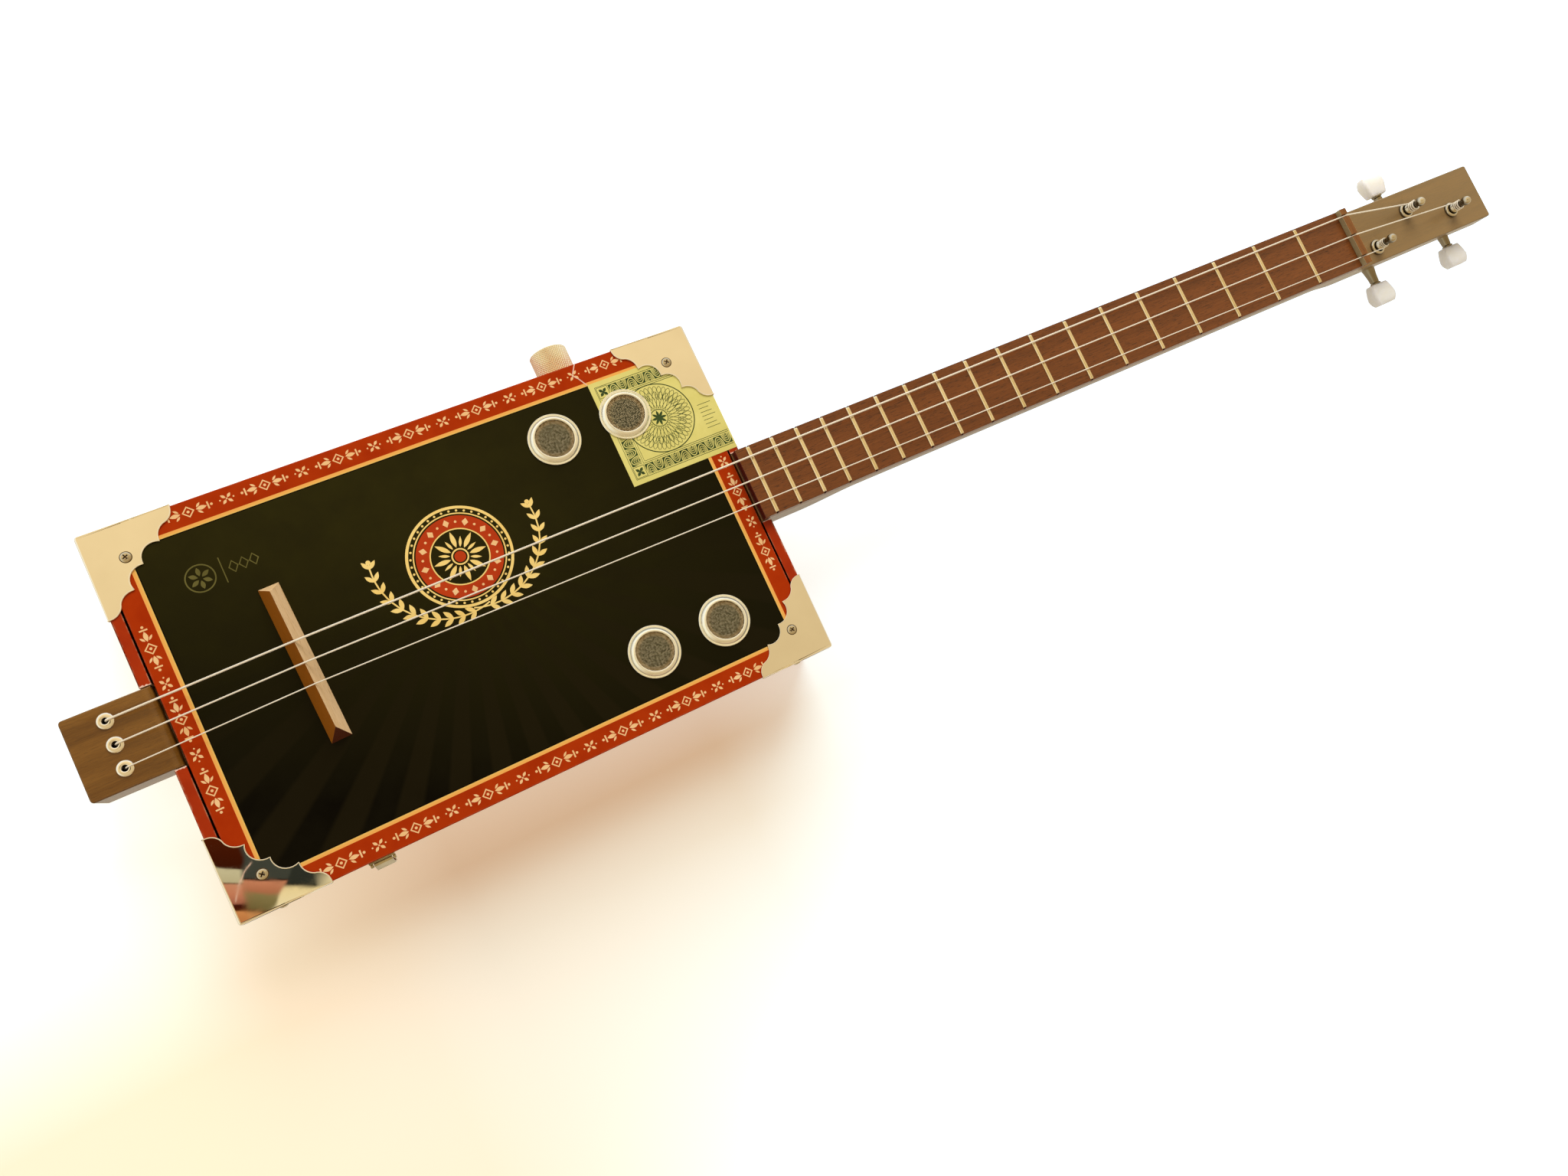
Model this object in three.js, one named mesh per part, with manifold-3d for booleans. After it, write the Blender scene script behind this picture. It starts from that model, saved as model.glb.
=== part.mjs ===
// A three-string cigar box guitar: a printed cigar box with a neck that runs right through it.
// Millimetres. The origin is the centre of the box's underside. +X runs along the neck to the
// headstock, +Y is the bass side, which carries the volume knob, and +Z comes out of the face.
import * as THREE from "three";
import { mergeVertices } from "three/addons/utils/BufferGeometryUtils.js";
import Module from "manifold-3d";

const wasm = await Module();
wasm.setup();

// Driving dimensions
const scaleLength = 635;
const nutReach = 413;
const seatGap = 0.3;
const runningGap = 0.35;
const overrun = 2;
const mergeDistance = 0.0001;

const box = { length: 287, width: 178, height: 50, end: 5, side: 5, bottom: 5, lid: 4, lidGap: 0.8 };
const neck = {
  width: 37,
  depth: 19,
  tail: 32.6,
  lidRelief: 3,
  edge: 0.6,
  backRound: 11,
  heel: 22,
  blend: 32,
  corner: 1.6,
  notchGap: 0.4,
};
const head = { length: 132, drop: 6, cove: 6 };
const board = { depth: 6, overlap: 4.3 };
const fret = {
  count: 18,
  inset: 0.7,
  crown: 2.3,
  height: 1.1,
  tang: 0.6,
  tangDepth: 1.8,
};
const nut = { depth: 5.2, rise: 3.2, slotDepth: 1.7 };
const bridge = {
  length: 75,
  tailHalf: 5.3,
  headHalf: 3.9,
  height: 11,
  hip: 5,
  shift: 2.6,
  slant: 2,
  notch: 0.6,
  compensation: 1,
};
const ferrule = {
  inset: 16.6,
  pitch: 10.75,
  shift: 0.7,
  flange: 3.7,
  rise: 1.3,
  wall: 1.2,
  sleeveDepth: 6,
  bore: 1.3,
};
const ballEnd = { radius: 1.9, height: 3.4, play: 0.5, seatDepth: 6 };
const port = {
  radius: 12.8,
  rise: 2.6,
  lip: 9.6,
  screenRise: 1.1,
  screen: 0.6,
  sleeve: 10.2,
  sleeveWall: 0.8,
  sleeveDepth: 9,
};
const bracket = { leg: 38.5, sheet: 0.7, lobe: 6, scoop: 6.7, screwInset: 15.2, screwHole: 1.6 };
const knob = {
  x: 80,
  z: 28,
  radius: 9.8,
  length: 16,
  recess: 7.4,
  recessDepth: 3,
  chamfer: 0.7,
  knurls: 40,
  knurlDepth: 0.45,
  gap: 1.5,
  shaft: 3,
};
const pot = { radius: 8.5, depth: 9, wall: 1.25, nutRim: 1, nutDepth: 2.2, back: 1.4 };
const jack = {
  x: -66,
  radius: 6.8,
  depth: 17,
  wall: 1.45,
  bore: 3.25,
  nutRim: 2.5,
  nutDepth: 2.4,
  proud: 3.2,
  back: 1.4,
};
const pickup = { inset: 60, radius: 13.5, disc: 0.4, crystal: 10, crystalDepth: 0.4 };
const clasp = {
  fromBracket: 15.5,
  width: 11.2,
  plate: 0.8,
  plateDrop: 3.6,
  edge: 0.35,
  knuckle: 1.1,
  hasp: 8,
  haspDrop: 14,
  haspSwell: 1.8,
  lip: 1.4,
};
const tuner = {
  pitch: 35.4,
  first: 31.3,
  wall: 1.3,
  depth: 10.5,
  halfWidth: 7.5,
  nearEnd: 6.6,
  farEnd: 9.2,
  ear: 3.2,
  earReach: 9.4,
  earDepth: 1.6,
  earHole: 1.1,
};
const post = {
  radius: 3,
  waist: 2,
  cap: 2.8,
  baseTop: 3,
  waistStart: 4.2,
  waistEnd: 10.2,
  capMiddle: 12.4,
  top: 14.6,
  pivot: 1.5,
  hole: 0.8,
  holeHeight: 9.2,
};
const gear = { radius: 3.7, root: 3.1, depth: 2.6, teeth: 14, floorGap: 3.4 };
const worm = { core: 1.0, thread: 0.5, length: 8, pitch: 1.65, turns: 3, steps: 8, sides: 4 };
const bushing = { flange: 4.9, rise: 2, wall: 0.75, depth: 8 };
const stem = { radius: 1.5, bossRoot: 4.2, bossTip: 2.6 };
const button = { reach: 19.5, length: 13.8, tip: 17.6, root: 13.5, depth: 7.6, collar: 3.2, collarDepth: 1.0 };
const winding = { turns: 3, gap: 0.45, start: 4.4, steps: 24, sides: 6 };

// Strings from the treble side to the bass side. Order counts the ferrules from the middle one and
// rank the posts from the nut, side is the side of the post that the string meets first, and stands
// is the side that the button stands out on. Shares are of half the neck's width.
const strings = [
  {
    name: "treble",
    radius: 0.3,
    order: -1,
    rank: 0,
    side: -1,
    stands: -1,
    nutShare: -0.724,
    bridgeShare: -0.508,
    postShare: -0.5135,
  },
  {
    name: "middle",
    radius: 0.4,
    order: 0,
    rank: 2,
    side: 1,
    stands: -1,
    nutShare: 0.038,
    bridgeShare: 0.043,
    postShare: -0.297,
  },
  {
    name: "bass",
    radius: 0.5,
    order: 1,
    rank: 1,
    side: 1,
    stands: 1,
    nutShare: 0.757,
    bridgeShare: 0.6,
    postShare: 0.27,
  },
];

// Sound ports in two pairs beside the strings, as shares of half the box's length and width
const portShares = {
  sound_port_bass_tail: [0.425, 0.64],
  sound_port_bass_head: [0.683, 0.635],
  sound_port_treble_tail: [0.432, -0.629],
  sound_port_treble_head: [0.693, -0.629],
};

// Facets of the round shapes
const facets = { hole: 20, ring: 28, small: 14, shaft: 16, corner: 5, scallop: 4, crown: 6 };

// Planes and places that follow from the dimensions
const boxEnd = box.length / 2;
const boxSide = box.width / 2;
const face = box.height;
const lidUnder = face - box.lid;
const neckSide = neck.width / 2;
const neckBack = face - neck.depth;
const boardTop = face + board.depth;
const nutX = boxEnd + nutReach;
const bridgeX = nutX - scaleLength - bridge.compensation;
const boardX = boxEnd - board.overlap;
const tailX = -boxEnd - neck.tail;
const headX = nutX + head.length;
const headFace = face - head.drop;
const bridgeTop = face + bridge.height;
const nutTop = boardTop + nut.rise;
const ferruleX = tailX + ferrule.inset;
const gearZ = neckBack - tuner.depth + tuner.wall + gear.floorGap + gear.depth / 2;
const gearOffset = gear.radius + worm.core + worm.thread + seatGap;
const fretLength = neck.width - fret.inset * 2;
const pickupX = pickup.inset - boxEnd + box.end;
const claspX = -boxEnd + bracket.leg + clasp.fromBracket + clasp.width / 2;
const bushingBore = post.radius + runningGap;
const bushingSleeve = bushingBore + bushing.wall;
const ferruleSleeve = ferrule.bore + ferrule.wall;
const potBore = knob.shaft + runningGap;
const potBush = potBore + pot.wall;
const jackBush = jack.bore + jack.wall;

// Finishes
const finish = (color, roughness, metalness) =>
  new THREE.MeshStandardMaterial({ color, roughness, metalness });
const finishes = {
  printedPaper: finish(0x1f1b10, 0.5, 0),
  redPaper: finish(0xa9320f, 0.55, 0),
  walnut: finish(0x7a5a34, 0.55, 0),
  mahogany: finish(0x8a4f24, 0.55, 0),
  nutWood: finish(0x6f5135, 0.6, 0),
  bridgeWood: finish(0xa87f58, 0.6, 0),
  chrome: finish(0xd9d6cf, 0.12, 1),
  nickel: finish(0xcfc7b4, 0.3, 1),
  steel: finish(0xc9c5bb, 0.35, 1),
  brass: finish(0xc9a24a, 0.35, 1),
  pearl: finish(0xf0ead6, 0.25, 0),
};

// A closed geometry as a solid, and a solid as a geometry
function solid(geometry) {
  const bare = geometry.clone();
  bare.deleteAttribute("normal");
  bare.deleteAttribute("uv");
  const merged = mergeVertices(bare, mergeDistance);
  return new wasm.Manifold(
    new wasm.Mesh({
      numProp: 3,
      vertProperties: merged.attributes.position.array,
      triVerts: new Uint32Array(merged.index.array),
    }),
  );
}

function geometryOf(made) {
  const mesh = made.getMesh();
  const geometry = new THREE.BufferGeometry()
    .setAttribute("position", new THREE.BufferAttribute(mesh.vertProperties, 3))
    .setIndex(new THREE.BufferAttribute(mesh.triVerts, 1));
  geometry.computeVertexNormals();
  return geometry;
}

const joined = (...made) => made.reduce((sum, one) => sum.add(one));
const cutBy = (made, cutters) => cutters.reduce((left, one) => left.subtract(one), made);

function piece(group, name, made, material) {
  const mesh = new THREE.Mesh(geometryOf(made), material);
  mesh.name = name;
  group.add(mesh);
  return mesh;
}

// Directions: a shape drawn flat is extruded along Z, along Y as (x, z), or along X as (y, z)
const turnToY = new THREE.Matrix4().makeRotationX(Math.PI / 2);
const turnToX = new THREE.Matrix4().makeBasis(
  new THREE.Vector3(0, 1, 0),
  new THREE.Vector3(0, 0, 1),
  new THREE.Vector3(1, 0, 0),
);

function block(fromX, toX, fromY, toY, fromZ, toZ) {
  const geometry = new THREE.BoxGeometry(toX - fromX, toY - fromY, toZ - fromZ);
  return solid(geometry.translate((fromX + toX) / 2, (fromY + toY) / 2, (fromZ + toZ) / 2));
}

const vectors = (pairs) => pairs.map(([a, b]) => new THREE.Vector2(a, b));
const outline = (pairs) => new THREE.Shape(vectors(pairs));

function slabZ(shape, fromZ, toZ) {
  const options = { depth: toZ - fromZ, bevelEnabled: false, curveSegments: facets.corner };
  return solid(new THREE.ExtrudeGeometry(shape, options).translate(0, 0, fromZ));
}

function slabY(shape, fromY, toY) {
  const options = { depth: toY - fromY, bevelEnabled: false, curveSegments: facets.corner };
  const geometry = new THREE.ExtrudeGeometry(shape, options).applyMatrix4(turnToY);
  return solid(geometry.translate(0, toY, 0));
}

function slabX(shape, fromX, toX) {
  const options = { depth: toX - fromX, bevelEnabled: false, curveSegments: facets.corner };
  const geometry = new THREE.ExtrudeGeometry(shape, options).applyMatrix4(turnToX);
  return solid(geometry.translate(fromX, 0, 0));
}

// A turned piece: its profile is a list of [radius, height], up the outside and down any bore.
// Along Y, heights are places along that axis.
function turnedZ(profile, steps, x, y) {
  const upright = new THREE.LatheGeometry(vectors(profile), steps).applyMatrix4(turnToY);
  return solid(upright.translate(x, y, 0));
}

function turnedY(profile, steps, x, z) {
  return solid(new THREE.LatheGeometry(vectors(profile), steps).translate(x, 0, z));
}

const rodProfile = (radius, from, to) => [
  [0, from],
  [radius, from],
  [radius, to],
  [0, to],
];
const rodZ = (radius, fromZ, toZ, x, y, steps) => turnedZ(rodProfile(radius, fromZ, toZ), steps, x, y);
const rodY = (radius, fromY, toY, x, z, steps) => turnedY(rodProfile(radius, fromY, toY), steps, x, z);

// A skin through rings of equal point counts, closed by a fan at each end
function loft(rings) {
  const count = rings[0].length;
  const positions = rings.flat().flatMap((point) => [point.x, point.y, point.z]);
  const indices = [];
  for (let ring = 0; ring + 1 < rings.length; ring++) {
    for (let i = 0; i < count; i++) {
      const a = ring * count + i;
      const b = ring * count + ((i + 1) % count);
      indices.push(a, b, b + count, a, b + count, a + count);
    }
  }
  const last = (rings.length - 1) * count;
  for (let i = 1; i + 1 < count; i++) {
    indices.push(0, i + 1, i, last, last + i, last + i + 1);
  }
  return new THREE.BufferGeometry()
    .setAttribute("position", new THREE.Float32BufferAttribute(positions, 3))
    .setIndex(indices);
}

// A round wire along a list of points, each ring square to the path there
function wire(points, radius, sides) {
  const tangents = points.map((_, i) => {
    const before = points[Math.max(i - 1, 0)];
    const after = points[Math.min(i + 1, points.length - 1)];
    return new THREE.Vector3().subVectors(after, before).normalize();
  });
  const side = new THREE.Vector3(0, 1, 0);
  const rings = points.map((point, i) => {
    side.addScaledVector(tangents[i], -side.dot(tangents[i])).normalize();
    const across = new THREE.Vector3().crossVectors(tangents[i], side);
    return Array.from({ length: sides }, (_, k) => {
      const angle = (k / sides) * Math.PI * 2;
      return point
        .clone()
        .addScaledVector(side, Math.cos(angle) * radius)
        .addScaledVector(across, Math.sin(angle) * radius);
    });
  });
  return solid(loft(rings));
}

// Box: panels glued up, with the ends notched for the neck
function boxPanels(group) {
  const innerEnd = boxEnd - box.end;
  const innerSide = boxSide - box.side;
  const bottom = block(-innerEnd, innerEnd, -innerSide, innerSide, 0, box.bottom);
  piece(group, "box_bottom", bottom, finishes.redPaper);

  const sideHole = (radius, x) =>
    rodY(radius + seatGap, innerSide - overrun, boxSide + overrun, x, knob.z, facets.hole);
  const bassSide = block(-innerEnd, innerEnd, innerSide, boxSide, 0, lidUnder);
  const holes = [sideHole(potBush, knob.x), sideHole(jackBush, jack.x)];
  piece(group, "box_side_bass", cutBy(bassSide, holes), finishes.redPaper);
  const trebleSide = block(-innerEnd, innerEnd, -boxSide, -innerSide, 0, lidUnder);
  piece(group, "box_side_treble", trebleSide, finishes.redPaper);

  const notchSide = neckSide + neck.notchGap;
  const notchFloor = neckBack - neck.notchGap;
  const notchTop = face + overrun;
  const ends = [
    ["box_end_tail", -1],
    ["box_end_head", 1],
  ];
  for (const [name, sign] of ends) {
    const [from, to] = [sign * innerEnd, sign * boxEnd].sort((a, b) => a - b);
    const panel = block(from, to, -boxSide, boxSide, 0, face);
    const notch = block(from - overrun, to + overrun, -notchSide, notchSide, notchFloor, notchTop);
    piece(group, name, panel.subtract(notch), finishes.redPaper);
  }
}

// Lid, let in between the end panels, with a hole for each sound port
const portPlaces = Object.entries(portShares).map(([name, [along, across]]) => ({
  name,
  x: boxEnd * along,
  y: boxSide * across,
}));

function boxLid(group) {
  const reach = boxEnd - box.end - box.lidGap;
  const panel = block(-reach, reach, -boxSide, boxSide, lidUnder, face);
  const holes = portPlaces.map(({ x, y }) =>
    rodZ(port.sleeve + seatGap, lidUnder - overrun, face + overrun, x, y, facets.ring),
  );
  piece(group, "box_lid", cutBy(panel, holes), finishes.printedPaper);
}

// A sound port: a domed ring with a sleeve down through the lid and a screen across its lip
function soundPorts(group) {
  const sleeveEnd = face - port.sleeveDepth;
  const sleeveBore = port.sleeve - port.sleeveWall;
  const screenTop = face + port.screenRise;
  const profile = [
    [0, screenTop - port.screen],
    [sleeveBore, screenTop - port.screen],
    [sleeveBore, sleeveEnd],
    [port.sleeve, sleeveEnd],
    [port.sleeve, face],
    [port.radius, face],
    [port.radius, face + port.rise * 0.3],
    [port.radius - port.rise * 0.45, face + port.rise * 0.85],
    [port.radius - port.rise * 0.7, face + port.rise],
    [port.lip, face + port.rise * 0.75],
    [port.lip - port.screen, screenTop],
    [0, screenTop],
  ];
  for (const { name, x, y } of portPlaces) {
    piece(group, name, turnedZ(profile, facets.ring, x, y), finishes.chrome);
  }
}

// Corner brackets: three scalloped flanges that meet at the corner. The outline runs from one leg
// tip over a round lobe, a scoop, a cusp, a scoop and so on, the same both ways from the diagonal.
const bracketShares = {
  lobeEnd: [0.876, 0.166],
  outerCusp: [0.772, 0.345],
  middleCusp: 0.529,
};

// Points of an arc of the given radius between two points. Its hollow side is on the left of the way
// for a turn of 1, and on the right for a turn of -1.
function arcBetween(from, to, radius, turn) {
  const middle = from.clone().add(to).multiplyScalar(0.5);
  const half = to.clone().sub(from).multiplyScalar(0.5);
  const normal = new THREE.Vector2(-half.y, half.x).normalize();
  const rise = Math.sqrt(Math.max(radius * radius - half.lengthSq(), 0));
  const centre = middle.addScaledVector(normal, turn * rise);
  const start = from.clone().sub(centre).angle();
  const sweep = turn * 2 * Math.asin(Math.min(half.length() / radius, 1));
  return Array.from({ length: facets.scallop - 1 }, (_, i) => {
    const angle = start + (sweep * (i + 1)) / facets.scallop;
    return new THREE.Vector2(Math.cos(angle), Math.sin(angle)).multiplyScalar(radius).add(centre);
  });
}

function bracketOutline() {
  const tip = new THREE.Vector2(bracket.leg, 0);
  const at = ([a, b]) => new THREE.Vector2(bracket.leg * a, bracket.leg * b);
  const lobeEnd = at(bracketShares.lobeEnd);
  const outerCusp = at(bracketShares.outerCusp);
  const middleCusp = at([bracketShares.middleCusp, bracketShares.middleCusp]);
  const half = [
    tip,
    ...arcBetween(tip, lobeEnd, bracket.lobe, 1),
    lobeEnd,
    ...arcBetween(lobeEnd, outerCusp, bracket.scoop, -1),
    outerCusp,
    ...arcBetween(outerCusp, middleCusp, bracket.scoop, -1),
  ];
  const mirrored = half.map(({ x, y }) => new THREE.Vector2(y, x)).reverse();
  const bend = -bracket.sheet;
  const start = [new THREE.Vector2(bend, bend), new THREE.Vector2(bracket.leg, bend)];
  return new THREE.Shape([...start, ...half, middleCusp, ...mirrored, new THREE.Vector2(bend, bracket.leg)]);
}

// Built for the corner at the origin with the box on its +X, +Y and -Z sides, then set in place
function bracketSolid() {
  const shape = bracketOutline();
  const sheet = bracket.sheet;
  const deepX = new THREE.Matrix4().makeBasis(
    new THREE.Vector3(0, 1, 0),
    new THREE.Vector3(0, 0, -1),
    new THREE.Vector3(-1, 0, 0),
  );
  const deepY = new THREE.Matrix4().makeBasis(
    new THREE.Vector3(0, 0, -1),
    new THREE.Vector3(1, 0, 0),
    new THREE.Vector3(0, -1, 0),
  );
  const options = { depth: sheet, bevelEnabled: false };
  const flat = () => new THREE.ExtrudeGeometry(shape, options);
  const top = solid(flat());
  const endFlange = solid(flat().applyMatrix4(deepX));
  const sideFlange = solid(flat().applyMatrix4(deepY));
  const inset = bracket.screwInset;
  const hole = rodZ(bracket.screwHole, -overrun, sheet + overrun, inset, inset, facets.small);
  const endHole = slabX(roundShape(bracket.screwHole, inset, -inset), -sheet - overrun, overrun);
  const sideHole = slabY(roundShape(bracket.screwHole, inset, -inset), -sheet - overrun, overrun);
  return cutBy(joined(top, endFlange, sideFlange), [hole, endHole, sideHole]);
}

function roundShape(radius, a, b) {
  const points = Array.from({ length: facets.small }, (_, i) => {
    const angle = (i / facets.small) * Math.PI * 2;
    return [a + Math.cos(angle) * radius, b + Math.sin(angle) * radius];
  });
  return outline(points);
}

function cornerBrackets(group) {
  const made = bracketSolid();
  const places = [
    ["bracket_tail_treble", -1, -1],
    ["bracket_tail_bass", -1, 1],
    ["bracket_head_treble", 1, -1],
    ["bracket_head_bass", 1, 1],
  ];
  for (const [name, endSign, sideSign] of places) {
    const corner = new THREE.Group();
    corner.position.set(endSign * boxEnd, sideSign * boxSide, face);
    corner.scale.set(-endSign, -sideSign, 1);
    piece(corner, name, made, finishes.chrome);
    group.add(corner);
  }
}

// Neck: one board from the tail to the headstock, square at the box and round-backed beyond it
function neckRing(x, radius) {
  const corner = (centreY, from) =>
    Array.from({ length: facets.corner + 1 }, (_, i) => {
      const angle = from + ((i / facets.corner) * Math.PI) / 2;
      const y = centreY + Math.cos(angle) * radius;
      return new THREE.Vector3(x, y, neckBack + radius + Math.sin(angle) * radius);
    });
  return [
    new THREE.Vector3(x, neckSide, face),
    new THREE.Vector3(x, -neckSide, face),
    ...corner(-neckSide + radius, Math.PI),
    ...corner(neckSide - radius, Math.PI * 1.5),
  ];
}

function neckBlank() {
  const ease = (share) => share * share * (3 - 2 * share);
  const blendSteps = facets.corner;
  const stations = [[tailX, 0]];
  for (let i = 0; i <= blendSteps; i++) {
    stations.push([boxEnd + neck.heel + (neck.blend * i) / blendSteps, i / blendSteps]);
  }
  for (let i = 0; i <= blendSteps; i++) {
    stations.push([nutX - neck.blend + (neck.blend * i) / blendSteps, 1 - i / blendSteps]);
  }
  stations.push([headX, 0]);
  const rings = stations.map(([x, share]) =>
    neckRing(x, neck.edge + (neck.backRound - neck.edge) * ease(share)),
  );
  return solid(loft(rings));
}

function roundedPlan() {
  const r = neck.corner;
  const shape = new THREE.Shape();
  shape.moveTo(tailX + r, -neckSide);
  shape.lineTo(headX - r, -neckSide);
  shape.absarc(headX - r, -neckSide + r, r, -Math.PI / 2, 0);
  shape.absarc(headX - r, neckSide - r, r, 0, Math.PI / 2);
  shape.absarc(tailX + r, neckSide - r, r, Math.PI / 2, Math.PI);
  shape.absarc(tailX + r, -neckSide + r, r, Math.PI, Math.PI * 1.5);
  return shape;
}

// The waste above the headstock's face, with a hollow cove behind the nut
function headWaste() {
  const coveX = nutX + nut.depth + seatGap;
  const cove = Array.from({ length: facets.corner + 1 }, (_, i) => {
    const angle = Math.PI + ((i / facets.corner) * Math.PI) / 2;
    const x = coveX + head.cove + Math.cos(angle) * head.cove;
    return [x, headFace + head.cove + Math.sin(angle) * head.cove];
  });
  const top = face + overrun;
  const points = [[coveX, top], ...cove, [headX + overrun, headFace], [headX + overrun, top]];
  return slabY(outline(points), -neckSide - overrun, neckSide + overrun);
}

const postX = (string) => nutX + tuner.first + tuner.pitch * string.rank;
const postY = (string) => neckSide * string.postShare;
const ferruleY = (string) => ferrule.shift + ferrule.pitch * string.order;

function neckHoles(string) {
  const low = neckBack - overrun;
  const postHole = (radius, from, to) => rodZ(radius, from, to, postX(string), postY(string), facets.hole);
  const stringHole = (radius, from, to) => rodZ(radius, from, to, ferruleX, ferruleY(string), facets.small);
  return [
    postHole(bushingSleeve + seatGap, headFace - bushing.depth - seatGap, face + overrun),
    postHole(bushingBore, low, headFace),
    stringHole(ferruleSleeve + seatGap, face - ferrule.sleeveDepth - seatGap, face + overrun),
    stringHole(ferrule.bore, low, face),
    stringHole(ballEnd.radius + ballEnd.play, low, neckBack + ballEnd.seatDepth),
  ];
}

function neckBoard(group) {
  const innerEnd = boxEnd - box.end;
  const beside = neckSide + overrun;
  const relief = block(-innerEnd, innerEnd, -beside, beside, lidUnder - neck.lidRelief, face + overrun);
  const waste = [relief, headWaste(), ...strings.flatMap(neckHoles)];
  const plan = slabZ(roundedPlan(), neckBack - overrun, face + overrun);
  piece(group, "neck", cutBy(neckBlank().intersect(plan), waste), finishes.walnut);
}

// Fretboard and frets, spaced for equal temperament
const fretX = (number) => nutX - scaleLength * (1 - 2 ** (-number / 12));

function fretboard(group) {
  const beside = neckSide + overrun;
  const slots = Array.from({ length: fret.count }, (_, i) => {
    const half = (fret.tang + seatGap) / 2;
    const floor = boardTop - fret.tangDepth - seatGap;
    const middle = fretX(i + 1);
    return block(middle - half, middle + half, -beside, beside, floor, boardTop + overrun);
  });
  const blank = block(boardX, nutX, -neckSide, neckSide, face, boardTop);
  piece(group, "fretboard", cutBy(blank, slots), finishes.mahogany);
}

function frets(group) {
  const crown = Array.from({ length: facets.crown + 1 }, (_, i) => {
    const angle = (i / facets.crown) * Math.PI;
    return [(Math.cos(angle) * fret.crown) / 2, Math.sin(angle) * fret.height];
  });
  const tang = [
    [-fret.tang / 2, 0],
    [-fret.tang / 2, -fret.tangDepth],
    [fret.tang / 2, -fret.tangDepth],
    [fret.tang / 2, 0],
  ];
  const wireSolid = slabY(outline([...crown, ...tang]), -fretLength / 2, fretLength / 2);
  for (let number = 1; number <= fret.count; number++) {
    const mesh = piece(group, `fret_${String(number).padStart(2, "0")}`, wireSolid, finishes.nickel);
    mesh.position.set(fretX(number), 0, boardTop);
  }
}

function nutBlade(group) {
  const blade = block(nutX, nutX + nut.depth, -neckSide, neckSide, face, nutTop);
  const slots = strings.map(({ radius, nutShare }) => {
    const y = neckSide * nutShare;
    const half = radius + seatGap;
    const [from, to] = [nutX - overrun, nutX + nut.depth + overrun];
    return block(from, to, y - half, y + half, nutTop - nut.slotDepth, nutTop + overrun);
  });
  piece(group, "nut", cutBy(blade, slots), finishes.nutWood);
}

// Bridge: a loose triangular bar, hipped at both ends and slanted so that the bass string is longer
const bridgeSlant = THREE.MathUtils.degToRad(bridge.slant);
const bridgeLineX = (y) => bridgeX - Math.tan(bridgeSlant) * (y - bridge.shift);

function bridgeBar(group) {
  const reach = bridge.tailHalf + bridge.headHalf;
  const section = outline([
    [-bridge.tailHalf, 0],
    [bridge.headHalf, 0],
    [0, bridge.height],
  ]);
  const lengthwise = outline([
    [-bridge.length / 2, 0],
    [bridge.length / 2, 0],
    [bridge.length / 2 - bridge.hip, bridge.height],
    [-bridge.length / 2 + bridge.hip, bridge.height],
  ]);
  const bar = slabY(section, -bridge.length / 2, bridge.length / 2);
  const hips = slabX(lengthwise, -reach, reach);
  const notches = strings.map(({ radius, bridgeShare }) => {
    const place = (neckSide * bridgeShare - bridge.shift) / Math.cos(bridgeSlant);
    const half = radius + seatGap;
    const [floor, top] = [bridge.height - bridge.notch, bridge.height + overrun];
    return block(-reach, reach, place - half, place + half, floor, top);
  });
  const mesh = piece(group, "bridge", cutBy(bar.intersect(hips), notches), finishes.bridgeWood);
  mesh.position.set(bridgeX, bridge.shift, face);
  mesh.rotation.z = bridgeSlant;
}

function ferrules(group) {
  const profile = [
    [ferrule.bore, face - ferrule.sleeveDepth],
    [ferruleSleeve, face - ferrule.sleeveDepth],
    [ferruleSleeve, face],
    [ferrule.flange, face],
    [ferrule.flange, face + ferrule.rise * 0.35],
    [ferrule.flange * 0.8, face + ferrule.rise * 0.9],
    [ferrule.flange * 0.6, face + ferrule.rise],
    [ferrule.bore, face + ferrule.rise * 0.6],
    [ferrule.bore, face - ferrule.sleeveDepth],
  ];
  for (const string of strings) {
    const made = turnedZ(profile, facets.small, ferruleX, ferruleY(string));
    piece(group, `ferrule_${string.name}`, made, finishes.chrome);
  }
}

// Strings: from the ball end in the tail block, up through the ferrule, over the bridge and the
// nut, and round the post from the bottom up
function windingPoints(string) {
  const x = postX(string);
  const reach = post.waist + seatGap + string.radius;
  const pitch = string.radius * 2 + winding.gap;
  const startZ = headFace + winding.start;
  const count = winding.turns * winding.steps;
  return Array.from({ length: count + 1 }, (_, i) => {
    const turn = (i / winding.steps) * Math.PI * 2;
    const angle = string.side * (Math.PI / 2 - turn);
    const y = postY(string) + Math.sin(angle) * reach;
    return new THREE.Vector3(x + Math.cos(angle) * reach, y, startZ + (pitch * i) / winding.steps);
  });
}

// Least distance between the outsides of turns that lie on each other
function leastGap(points, radius) {
  let least = Infinity;
  for (let i = 0; i < points.length; i++) {
    for (let k = i + Math.round(winding.steps / 2); k < points.length; k++) {
      least = Math.min(least, points[i].distanceTo(points[k]) - radius * 2);
    }
  }
  return least;
}

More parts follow.
